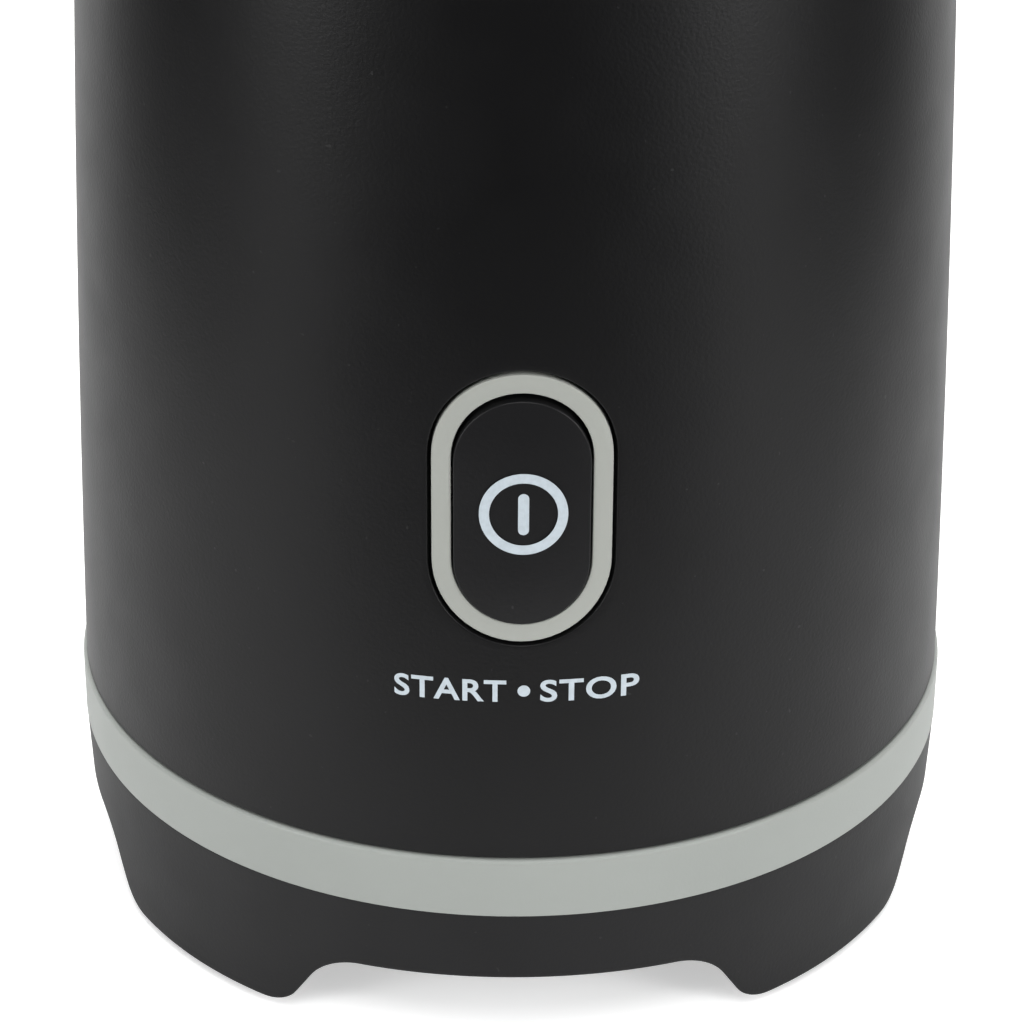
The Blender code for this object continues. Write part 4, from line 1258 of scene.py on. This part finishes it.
def area_light(name, place, target, size, power):
    data = bpy.data.lights.new(name, "AREA")
    data.shape = "RECTANGLE"
    data.size, data.size_y = size
    data.energy = power
    obj = bpy.data.objects.new(name, data)
    bpy.context.scene.collection.objects.link(obj)
    obj.location = place
    obj.rotation_mode = "QUATERNION"
    obj.rotation_quaternion = (Vector(target) - Vector(place)).to_track_quat("-Z", "Y")


def floor():
    """A pale board that ends a little in front of the frother, as on a small studio table."""
    data = bpy.data.meshes.new("floor")
    bm = bmesh.new()
    fillets = [FLOOR_CORNER] * 4
    outline = rectangle(-FLOOR_SIDE, FLOOR_SIDE, FLOOR_FRONT, FLOOR_BACK, fillets)
    bm.faces.new([bm.verts.new((x, y, 0)) for x, y in outline])
    thicken(bm, Vector((0, 0, -FLOOR_THICKNESS)))
    bm.to_mesh(data)
    bm.free()
    n = Nodes("floor_paper", (0.93, 0.93, 0.93), 0.9)
    tone = n.colours(n.noise(30, 3), (0.3, (0.92, 0.92, 0.92)), (0.7, (0.94, 0.94, 0.94)))
    n.drive("Base Color", tone)
    n.set("Emission Color", (1, 1, 1, 1))
    seen = n.add("ShaderNodeLightPath").outputs["Is Camera Ray"]
    n.drive("Emission Strength", n.spread(seen, 0, FLOOR_LIFT, 0, 1))
    data.materials.append(n.material)
    obj = bpy.data.objects.new("floor", data)
    bpy.context.scene.collection.objects.link(obj)


def surroundings():
    """White to the camera, and a soft room for light: pale behind and dark in front."""
    world = bpy.data.worlds.new("room")
    world.use_nodes = True
    tree = world.node_tree
    nodes, link = tree.nodes, tree.links.new
    background = nodes["Background"]
    place = nodes.new("ShaderNodeTexCoord")
    split = nodes.new("ShaderNodeSeparateXYZ")
    link(place.outputs["Generated"], split.inputs["Vector"])
    back = nodes.new("ShaderNodeMapRange")
    back.inputs["From Min"].default_value = -1.0
    back.inputs["From Max"].default_value = 1.0
    link(split.outputs["Y"], back.inputs["Value"])
    ramp = nodes.new("ShaderNodeValToRGB")
    elements = ramp.color_ramp.elements
    for position, level in ROOM_LEVELS:
        first_or_last = {0: elements[0], 1: elements[-1]}
        stop = first_or_last.get(position) or elements.new(position)
        stop.position = position
        stop.color = (level, level, level, 1)
    link(back.outputs["Result"], ramp.inputs["Fac"])
    path = nodes.new("ShaderNodeLightPath")
    mix = nodes.new("ShaderNodeMix")
    mix.data_type = "RGBA"
    link(path.outputs["Is Camera Ray"], mix.inputs["Factor"])
    link(ramp.outputs["Color"], mix.inputs[MIX_FIRST])
    mix.inputs[MIX_SECOND].default_value = (1, 1, 1, 1)
    link(mix.outputs[MIX_RESULT], background.inputs["Color"])
    bpy.context.scene.world = world
    bpy.context.scene.view_settings.view_transform = "Standard"


def stage():
    camera()
    floor()
    surroundings()
    for light in LIGHTS:
        area_light(*light)


dress_cad_nodes()
housing()
trim_band()
base_skirt()
button_ring()
button_cap()
power_symbol()
legend()
foot_pads()
bottom_cover()
screws()
gland()
lid()
knob()
cup()
whisk()
stage()
